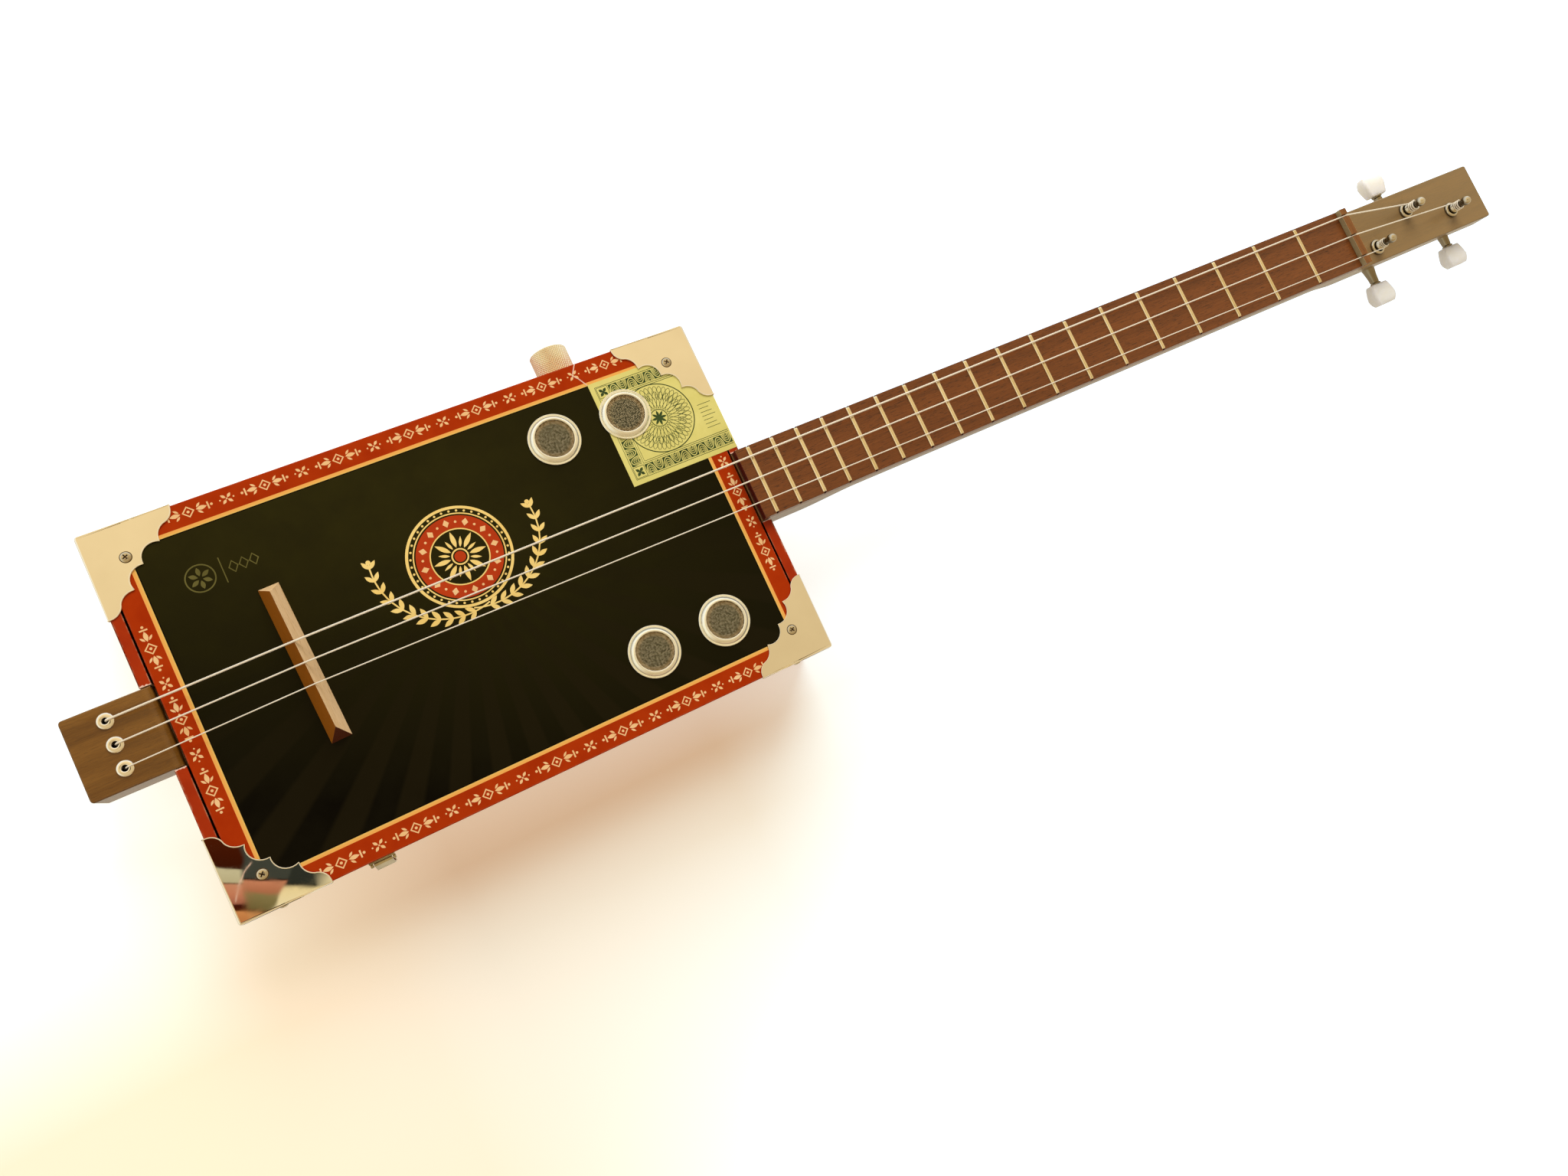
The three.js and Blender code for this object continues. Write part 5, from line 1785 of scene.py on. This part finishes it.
def string_points(name):
    radius, shares = string_radii[name], string_shares[name]
    ferrule_low, ferrule_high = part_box(f"ferrule_{name}")
    start = (ferrule_low + ferrule_high) / 2
    post_low, post_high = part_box(f"tuner_post_{name}")
    post_x = (post_low.x + post_high.x) / 2
    post_y = (post_low.y + post_high.y) / 2
    bridge_y = neck_side * shares["bridge"]
    bridge_mid = (bridge_low + bridge_high) / 2
    bridge_x = bridge_mid.x + bridge_lean - math.tan(math.radians(2)) * (bridge_y - bridge_mid.y)
    nut_y = neck_side * shares["nut"]
    bridge_z = bridge_high.z - seat["notch"] + seat["gap"] + radius
    nut_z = nut_high.z - seat["slot"] + seat["gap"] + radius
    head_face = face - neck["head_drop"]
    points = [
        Vector((start.x, start.y, ferrule_low.z)),
        Vector((start.x, start.y, face - 0.2 * mm)),
        Vector((start.x + 0.35 * mm, start.y, face + 0.6 * mm)),
        Vector((start.x + 0.9 * mm, start.y, face + 1.35 * mm + radius)),
        Vector((bridge_x - 1.2 * mm, bridge_y, bridge_z - 0.16 * mm)),
        Vector((bridge_x, bridge_y, bridge_z)),
        Vector((bridge_x + 1.2 * mm, bridge_y, bridge_z)),
        Vector((nut_low.x, nut_y, nut_z)),
        Vector((nut_high.x, nut_y, nut_z)),
    ]
    reach = winding["waist"] + winding["clear"] + radius
    pitch = radius * 2 + winding["gap"]
    steps = winding["turns"] * winding["steps"]
    for i in range(steps + 1):
        turned = 2 * math.pi * i / winding["steps"]
        angle = shares["side"] * (math.pi / 2 - turned)
        x, y = post_x + math.cos(angle) * reach, post_y + math.sin(angle) * reach
        points.append(Vector((x, y, head_face + winding["start"] + pitch * i / winding["steps"])))
    return points


# Radius and height of each point, in millimetres
string_ball = ((0, 0), (1.6, 0), (1.9, 0.3), (1.9, 3.1), (1.6, 3.4), (0, 3.4))


def string_set():
    for name in strings:
        bm = bmesh.new()
        tube(bm, string_points(name), string_radii[name], 12)
        low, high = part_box(f"ferrule_{name}")
        node_name = f"string_{name}"
        string_low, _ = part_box(node_name)
        middle = (low + high) / 2
        lathe(bm, in_mm(string_ball), 24, shift(middle.x, middle.y, string_low.z))
        material = plain_wire if name == "treble" else wound_wire
        piece(f"{node_name}_fine", mesh_of(bm, "string", 60), material, "root", (node_name,))


# Radius and height of each point, in millimetres
post_profile = (
    (0, -38.1), (1.5, -38.1), (1.5, -33.4), (3.0, -33.4), (3.0, -11.6), (2.85, -11.3), (2.2, -10.5),
    (2.0, -10.2), (2.0, -4.6), (2.2, -4.2), (2.7, -3.7), (2.8, -3.3), (2.8, -2.3), (2.65, -1.7),
    (2.2, -0.8), (1.4, -0.15), (0.6, 0), (0, 0),
)
post_hole = {"radius": 0.75, "half": 5, "drop": 5.4}


def post_mesh():
    """A tuning post about the Z axis, with its top at z = 0."""
    bm = bmesh.new()
    lathe(bm, in_mm(post_profile), 40)
    blank = mesh_of(bm, "post")
    cutter = bmesh.new()
    radius, half = post_hole["radius"], post_hole["half"]
    drill = [(0, -half), (radius, -half), (radius, half), (0, half)]
    lathe(cutter, in_mm(drill), 20, shift(0, 0, -post_hole["drop"] * mm) @ turn(90, "X"))
    return carved(blank, mesh_of(cutter, "hole"))


# Radius and height of each point, in millimetres
bushing_profile = (
    (3.35, -8.0), (4.1, -8.0), (4.1, 0), (4.9, 0), (4.9, 0.7), (4.8, 1.15), (4.55, 1.55), (4.2, 1.85),
    (3.95, 2.0), (3.6, 1.98), (3.4, 1.8), (3.35, 1.6),
)


def bushing_mesh():
    """The ring round a post, with its underside at z = 0."""
    bm = bmesh.new()
    lathe(bm, in_mm(bushing_profile), 56, closed=True)
    return mesh_of(bm, "bushing", 40)


# The button's sizes in millimetres
button = {"reach": 19.5, "length": 13.8, "tip": 17.6, "depth": 7.6, "corner": 1.2, "corner_share": 0.4}
# Shares of the length, the width and the depth
button_shares = (
    (0.0, 0.75, 0.74), (0.1, 0.82, 0.82), (0.2, 0.86, 0.88), (0.4, 0.94, 0.95),
    (0.62, 1.0, 1.0), (0.78, 0.95, 0.94), (0.9, 0.88, 0.8), (1.0, 0.8, 0.6),
)


def button_mesh():
    """A keystone button running towards -Y from y = -reach, about the Y axis."""
    bm = bmesh.new()
    rings = []
    for along, width, thick in button_shares:
        y = -(button["reach"] + button["length"] * along)
        half_w, half_t = button["tip"] / 2 * width, button["depth"] / 2 * thick
        corner = min(button["corner"], half_t * button["corner_share"])
        ring = []
        for quarter in range(4):
            centre_x = (half_w - corner) * (1 if quarter in (0, 3) else -1)
            centre_z = (half_t - corner) * (1 if quarter in (0, 1) else -1)
            for i in range(4):
                angle = math.radians(90 * quarter + 30 * i)
                x, z = centre_x + math.cos(angle) * corner, centre_z + math.sin(angle) * corner
                ring.append(Vector((x, y, z)) * mm)
        rings.append(ring)
    skin(bm, rings)
    eased(bm, 0.5 * mm, 3, 40)
    return mesh_of(bm, "button", 35)


# Each part's radii and heights in millimetres, and its number of sides
shaft_profiles = (
    (((0, 4.8), (1.4, 4.8), (1.4, 4.9), (1.5, 5.0), (1.5, 24), (0, 24)), 28),
    (((0, 18.35), (2.6, 18.35), (3.1, 18.6), (3.2, 19.0), (3.1, 19.4), (2.4, 19.6), (0, 19.6)), 40),
    (((0, -3.1), (1.0, -3.1), (1.0, 4.9), (0, 4.9)), 20),
)
thread = {"turns": 3, "steps": 24, "radius": 1.25 * mm, "pitch": 1.65 * mm, "wire": 0.25 * mm}


def shaft_mesh():
    """The steel shaft with its collar and the worm inside the housing."""
    bm = bmesh.new()
    for profile, steps in shaft_profiles:
        lathe(bm, profile, steps)
    for vert in bm.verts:
        vert.co = Vector((vert.co.x, -vert.co.z, vert.co.y)) * mm
    radius, steps = thread["radius"], thread["steps"]
    points = []
    for i in range(thread["turns"] * steps + 1):
        angle = 2 * math.pi * i / steps
        along = (i / steps - thread["turns"] / 2) * thread["pitch"]
        points.append((math.cos(angle) * radius, along, math.sin(angle) * radius))
    tube(bm, points, thread["wire"], 6)
    return mesh_of(bm, "shaft", 40)


tuner = {"worm": 5.5 * mm, "worm_drop": 4.5 * mm, "ear": 9.4 * mm, "ear_depth": 1.6 * mm}
housing = {"tail": 6.6 * mm, "head": 9.2 * mm, "half": 7.5 * mm, "depth": 10.5 * mm, "edge": 1.1 * mm}
# Radius and height of each point, in millimetres
ear_profile = ((0, -1.6), (2.9, -1.6), (3.2, -1.3), (3.2, 0), (0, 0))
boss_profile = (
    (0, 6.2), (4.2, 6.2), (4.2, 7.5), (3.7, 9.0), (2.95, 14.0), (2.65, 17.9), (2.45, 18.2), (0, 18.2),
)


def housing_mesh():
    """The cast cover on the back of the head, its fixing ear and the tapered boss. Its top is z = 0."""
    tail, head, half, depth = -housing["tail"], housing["head"], housing["half"], housing["depth"]
    bm = bmesh.new()
    slab(bm, [(tail, -half), (head, -half), (head, half), (tail, half)], -depth, 0)
    eased(bm, housing["edge"], 4, 60, lambda edge: min(v.co.z for v in edge.verts) < -depth / 2)
    lathe(bm, in_mm(ear_profile), 36, shift(-tuner["ear"], 0, 0))
    place = turned_at(shift(tuner["worm"], 0, -tuner["worm_drop"]), turn(90, "X"))
    lathe(bm, in_mm(boss_profile), 40, place)
    return mesh_of(bm, "housing", 35)


def tuners():
    base = {
        "post": post_mesh(),
        "bushing": bushing_mesh(),
        "button": button_mesh(),
        "shaft": shaft_mesh(),
        "housing": housing_mesh(),
    }
    worm_z = neck_low.z - tuner["worm_drop"]
    head_face = face - neck["head_drop"]
    for name in strings:
        post_low, post_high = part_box(f"tuner_post_{name}")
        x, y = (post_low.x + post_high.x) / 2, (post_low.y + post_high.y) / 2
        stands = 1 if name == "bass" else -1
        mirror = Matrix.Diagonal((1, -stands, 1, 1))
        places = {
            "post": shift(x, y, post_high.z),
            "bushing": shift(x, y, head_face),
            "button": shift(x + tuner["worm"], y, worm_z),
            "shaft": shift(x + tuner["worm"], y, worm_z),
            "housing": shift(x, y, neck_low.z),
        }
        made = {}
        for kind, place in places.items():
            made[kind] = placed_copy(base[kind], place @ mirror, stands > 0)
        button_body = f"button_{name}"
        piece(f"post_{name}", made["post"], tuner_chrome, f"post_{name}", (f"tuner_post_{name}",))
        piece(f"bushing_{name}", made["bushing"], tuner_chrome, "root", (f"post_bushing_{name}",))
        piece(button_body, made["button"], pearl, button_body, (f"tuner_button_{name}",))
        piece(f"button_shaft_{name}", made["shaft"], boss_metal, button_body, ())
        piece(f"housing_{name}", made["housing"], boss_metal, "root", (f"tuner_housing_{name}",))
        ear = shift(x - tuner["ear"], y, neck_low.z - tuner["ear_depth"])
        ear = ear @ turn(180, "X") @ Matrix.Scale(screw["small_scale"], 4)
        piece(f"housing_screw_{name}", screw_head, screw_metal, "root", (), ear)
        string_tail(name, x, y, post_high.z)


# Along, across and up from the post's hole, in millimetres
tail_route = ((0, -1.6, 0), (0, 0, 0), (0.2, 2.4, 0.05), (0.7, 3.4, 0.3), (1.5, 4.3, 0.7))


def string_tail(name, x, y, top):
    """The clipped end of the string, out of the post's hole."""
    side = string_shares[name]["side"]
    radius = string_radii[name] * 0.8
    level = top - post_hole["drop"] * mm
    bm = bmesh.new()
    tube(bm, [(x + a, y + side * b, level + c) for a, b, c in in_mm(tail_route)], radius, 10)
    piece(f"string_tail_{name}", mesh_of(bm, "tail", 60), plain_wire, f"post_{name}", ())


# Volume knob and jack
knob = {
    "around": 88,
    "rows": 20,
    "depth": 0.45 * mm,
    "chamfer": 0.8 * mm,
    "bore": 7.0 * mm,
    "bore_depth": 2 * mm,
    "dish": 0.25 * mm,
}


def knob_mesh(centre_x, centre_z, low, high, radius):
    """A cylinder with diamond knurling between smooth chamfers, about the Y axis."""
    around, rows, chamfer, bore = knob["around"], knob["rows"], knob["chamfer"], knob["bore"]
    valley = radius - knob["depth"]
    length = high - low
    bm = bmesh.new()
    rings = []

    def ring(y, reach_of):
        points = []
        for i in range(around):
            angle = 2 * math.pi * i / around
            reach = reach_of(i)
            points.append(Vector((centre_x + math.cos(angle) * reach, y, centre_z - math.sin(angle) * reach)))
        rings.append(points)

    ring(low + knob["bore_depth"], lambda i: bore)
    ring(low, lambda i: bore)
    ring(low, lambda i: radius - chamfer)
    ring(low + chamfer * 0.5, lambda i: valley)
    for row in range(rows + 1):
        y = low + chamfer + (length - 2 * chamfer) * row / rows
        ring(y, lambda i, row=row: radius if (i + row) % 2 else valley)
    ring(high - chamfer * 0.5, lambda i: valley)
    ring(high - chamfer * 0.12, lambda i: radius - chamfer * 0.9)
    ring(high, lambda i: radius - chamfer * 1.3)
    ring(high - knob["dish"], lambda i: radius - chamfer * 2.2)
    skin(bm, rings)
    quads = [f for f in bm.faces if len(f.verts) == 4]
    bmesh.ops.triangulate(bm, faces=quads)
    return mesh_of(bm, "knob", 12)


control = {"knob_gap": 1.5 * mm, "shaft_start": 12.3 * mm}
# Radius and height of each point, in millimetres
control_shaft = ((0, 0), (2.8, 0), (3.0, 0.2), (3.0, 21.3), (2.8, 21.5), (0, 21.5))


def controls():
    low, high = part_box("volume_knob")
    x, z = (low.x + high.x) / 2, (low.z + high.z) / 2
    radius = (high.x - low.x) / 2
    made = knob_mesh(x, z, box_side + control["knob_gap"], high.y, radius)
    piece("volume_knob_fine", made, knob_metal, "knob", ("volume_knob",))
    bm = bmesh.new()
    place = shift(x, box_side - control["shaft_start"], z) @ turn(-90, "X")
    lathe(bm, in_mm(control_shaft), 28, place)
    piece("volume_shaft", mesh_of(bm, "shaft"), control_metal, "knob", ())
    for name in ("volume_control", "output_jack"):
        softened(name, 0.2 * mm, control_metal, angle=40)


def clasp():
    for name, body in (("clasp_plate", "root"), ("clasp_hasp", "hasp")):
        softened(name, 0.14 * mm, clasp_metal, body, angle=40)


def carried_over():
    """What stays as the frame has it gets its finish."""
    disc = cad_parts["pickup_disc"]
    disc.data.materials.clear()
    disc.data.materials.append(brass)


box()
notch_frays()
band_print()
wall_print()
medallion()
small_print()
label_sheet()
label_print()
torn_line()
brackets()
sound_ports()
neck_piece()
fretboard()
frets()
nut_and_bridge()
ferrules()
string_set()
tuners()
controls()
clasp()
carried_over()


# Floor, light and camera
floor_slab = {"reach": 4.0, "depth": 20 * mm, "gap": 0.4 * mm}


def floor():
    """A pale floor that glows white where it is lit and warm in the shadows, with painted shadow zones beside
    the box's treble side and toward its tail, white further out.
    """
    material, tree, shader = finish_of("pale_floor", {"Roughness": 0.85})
    tone = spread(tree, noise(tree, place_of(tree), 1.4, 2.0), 0.3, 0.7)
    feed(tree, shader["Base Color"], mixed(tree, tone, tint(0xF6F4F0), tint(0xF2EFEA)))
    paths = node(tree, "ShaderNodeLightPath").outputs
    glossy = calc(tree, "MAXIMUM", paths["Is Glossy Ray"], paths["Is Transmission Ray"])
    seen = calc(tree, "MAXIMUM", paths["Is Camera Ray"], glossy)
    x, y, _ = axes_of(tree, place_of(tree))
    # Painted shadow on the floor: a deep warm zone beside the box's treble side, and a cream zone toward the
    # tail.
    painted_shadow_zone = faded(tree, (x, -0.2, -0.06), (x, 0.28, 0.08), (y, -0.04, -0.11), (y, -0.34, -0.15))
    cream = faded(tree, (y, -0.03, -0.14), (x, 0.08, -0.1))
    lit = mixed(tree, cream, (0.42, 0.7, 0.98, 1), (0.42, 0.34, 0.4, 1))
    lit = mixed(tree, painted_shadow_zone, lit, (0.68, 0.88, 0.9, 1))
    lit = mixed(tree, paths["Is Glossy Ray"], lit, (0.12, 0.12, 0.1, 1))
    shade = node(tree, "ShaderNodeBsdfDiffuse", {"Color": lit}).outputs[0]
    tone_base = mixed(tree, spread(tree, x, -0.15, 0.35), (0.9, 0.8, 0.62, 1), (0.8, 0.74, 0.68, 1))
    tone_base = mixed(tree, cream, tone_base, (0.84, 0.66, 0.36, 1))
    tone_base = mixed(tree, painted_shadow_zone, tone_base, (0.38, 0.16, 0.03, 1))
    away = calc(tree, "SQRT", total(tree, product(tree, x, x), product(tree, y, y)))
    tone_base = mixed(tree, spread(tree, away, 0.36, 0.62), tone_base, (1, 1, 1, 1))
    tone_base = mixed(tree, paths["Is Glossy Ray"], tone_base, (0.7, 0.62, 0.48, 1))
    base = node(tree, "ShaderNodeEmission", {"Color": tone_base, "Strength": 1.0}).outputs[0]
    shown = node(tree, "ShaderNodeAddShader", {0: shade, 1: base}).outputs[0]
    bounced = tree.nodes["Principled BSDF"].outputs[0]
    final = node(tree, "ShaderNodeMixShader", {0: seen, 1: bounced, 2: shown}).outputs[0]
    feed(tree, tree.nodes["Material Output"].inputs["Surface"], final)
    bm = bmesh.new()
    reach = floor_slab["reach"]
    plan = [(-reach, -reach), (reach, -reach), (reach, reach), (-reach, reach)]
    slab(bm, plan, -floor_slab["depth"], -floor_slab["gap"])
    mesh = mesh_of(bm, "floor")
    mesh.materials.append(material)
    made = bpy.data.objects.new("floor", mesh)
    bpy.context.scene.collection.objects.link(made)


def plane_share(tree, u, v, by_u, by_v, start):
    """A share that grows evenly across the plane overhead."""
    return total(tree, product(tree, u, by_u), product(tree, v, by_v), start)


def shade_ramp(tree, share, stops):
    """The colours of the stops, by share."""
    made = node(tree, "ShaderNodeValToRGB", {0: share})
    elements = made.color_ramp.elements
    for place, code in stops[1:-1]:
        elements.new(place)
    for element, (place, code) in zip(elements, stops):
        element.position = place
        element.color = tint(code)
    return made.outputs[0]


# Colours of the mirrored shape's three parts, by share of the way down it
left_stops = (
    (0.0, 0x4B1905), (0.33, 0x3A1204), (0.345, 0xC8BE96), (0.465, 0xBDB289), (0.48, 0x5A3018),
    (0.49, 0xCC8A66), (0.6, 0xC47C5A), (0.7, 0xA5644B), (0.72, 0x3C0F05), (0.78, 0x4A1A0A),
    (0.8, 0xD08A50), (1.0, 0xB06A3A),
)
middle_stops = (
    (0.0, 0x44463C), (0.41, 0x3E4036), (0.43, 0x1C120C), (0.45, 0xC8825E), (0.56, 0xB06E4C), (0.6, 0x86784A),
    (0.76, 0x6E6238), (0.78, 0x3A200F), (0.81, 0xD09257), (1.0, 0xB37B48),
)
right_stops = (
    (0.0, 0x32342C), (0.47, 0x2C2E26), (0.49, 0x14100C), (0.52, 0xF0D99E), (0.7, 0xF0DFAE), (1.0, 0xD6C08C),
)


def reflected_room(tree, way):
    """What the mirror-bright metal shows: a cream room with a dark, blotchy shape overhead."""
    x, y, z = axes_of(tree, way)
    height = calc(tree, "MAXIMUM", z, 0.05)
    u, v = calc(tree, "DIVIDE", x, height), calc(tree, "DIVIDE", y, height)
    overhead = mixed(tree, spread(tree, v, 0.0, 0.45), tint(0xDDC493), tint(0xFBE1AB))
    low_room = mixed(tree, spread(tree, x, -0.6, 0.5), tint(0xFFFAE2), tint(0xDCC79E))
    low_room = mixed(tree, spread(tree, y, 0.15, 0.6), low_room, tint(0xFFFFF6))
    low_room = mixed(tree, spread(tree, y, -0.2, -0.8), low_room, tint(0xCDB07C))
    room = mixed(tree, spread(tree, z, 0.75, 0.45), overhead, low_room)

    down = plane_share(tree, u, v, -6.236, -12.088, -0.4635)
    cloud = noise(tree, way, 14.0, 2.0, 0.5)
    down = total(tree, down, spread(tree, cloud, 0.25, 0.75, -0.06, 0.06))
    across = plane_share(tree, u, v, 9.326, -3.708, 2.2657)
    cloud = noise(tree, way, 21.0, 2.0, 0.5)
    across = total(tree, across, spread(tree, cloud, 0.25, 0.75, 0.07, -0.07))
    left, middle, right = [shade_ramp(tree, down, stops) for stops in (left_stops, middle_stops, right_stops)]
    slanted = total(tree, across, product(tree, less(tree, down, 0.5), 0.4))
    blotch = mixed(tree, spread(tree, across, 0.24, 0.28), left, middle)
    blotch = mixed(tree, spread(tree, slanted, 0.555, 0.585), blotch, right)
    blotch = mixed(tree, spread(tree, across, 0.86, 0.96), blotch, tint(0xDCCB9C))
    from_curve = calc(tree, "ABSOLUTE", plane_share(tree, across, down, 1.0, 0.38, -0.418))
    curve = faded(tree, (from_curve, 0.009, 0.004), (down, 0.24, 0.28), (down, 0.7, 0.66, 0.0, 0.8))
    blotch = mixed(tree, curve, blotch, tint(0xE8C0A4))
    card = mixed(tree, spread(tree, u, -0.118, -0.105), blotch, tint(0x241B12))
    ragged = spread(tree, noise(tree, way, 9.0, 3.0, 0.6), 0.2, 0.8, -0.03, 0.03)
    sides = calc(tree, "MAXIMUM", less(tree, u, 0.1), less(tree, -0.27, u))
    ends = calc(tree, "MAXIMUM", less(tree, v, 0.11), less(tree, -0.12, v))
    outside = total(tree, calc(tree, "MAXIMUM", sides, ends), ragged)
    above = calc(tree, "GREATER_THAN", z, 0.5)
    return mixed(tree, product(tree, spread(tree, outside, 0.02, -0.02), above), room, card)


window = {
    "place": (1.2, 2.2, 2.1),
    "target": (0.15, 0, 0.03),
    "size": 2.2,
    "energy": 88,
    "color": (1.0, 0.99, 0.97),
}


def studio_light():
    """A white backdrop, a soft warm sky, what mirrors show, and one large window lamp."""
    world = bpy.data.worlds.new("studio")
    bpy.context.scene.world = world
    world.use_nodes = True
    tree = world.node_tree
    tree.nodes.clear()
    room = reflected_room(tree, node(tree, "ShaderNodeTexCoord").outputs["Generated"])
    paths = node(tree, "ShaderNodeLightPath").outputs
    seen = calc(tree, "MAXIMUM", paths["Is Glossy Ray"], paths["Is Transmission Ray"])
    soft = node(tree, "ShaderNodeBackground", {"Color": (1.0, 0.9, 0.78, 1), "Strength": 0.5}).outputs[0]
    mirror = node(tree, "ShaderNodeBackground", {"Color": room, "Strength": 1.0}).outputs[0]
    white = node(tree, "ShaderNodeBackground", {"Color": (1, 1, 1, 1), "Strength": 1.0}).outputs[0]
    first = node(tree, "ShaderNodeMixShader", {0: seen, 1: soft, 2: mirror}).outputs[0]
    final = node(tree, "ShaderNodeMixShader", {0: paths["Is Camera Ray"], 1: first, 2: white}).outputs[0]
    output = node(tree, "ShaderNodeOutputWorld")
    feed(tree, output.inputs["Surface"], final)

    target, place = Vector(window["target"]), Vector(window["place"])
    data = bpy.data.lights.new("window", "AREA")
    data.shape = "SQUARE"
    data.size = window["size"]
    data.energy = window["energy"]
    data.color = window["color"]
    lamp = bpy.data.objects.new("window", data)
    lamp.location = place
    lamp.rotation_euler = (target - place).to_track_quat("-Z", "Y").to_euler()
    lamp.visible_glossy = False
    bpy.context.scene.collection.objects.link(lamp)


def camera():
    data = bpy.data.cameras.new("camera")
    data.sensor_width = 36
    data.lens = 25.08
    made = bpy.data.objects.new("camera", data)
    made.location = (-0.03247, -0.08597, 0.56395)
    made.rotation_euler = [math.radians(angle) for angle in (10.908, -14.740, -26.081)]
    bpy.context.scene.collection.objects.link(made)
    bpy.context.scene.camera = made


floor()
studio_light()
camera()
bpy.context.scene.view_settings.view_transform = "Standard"
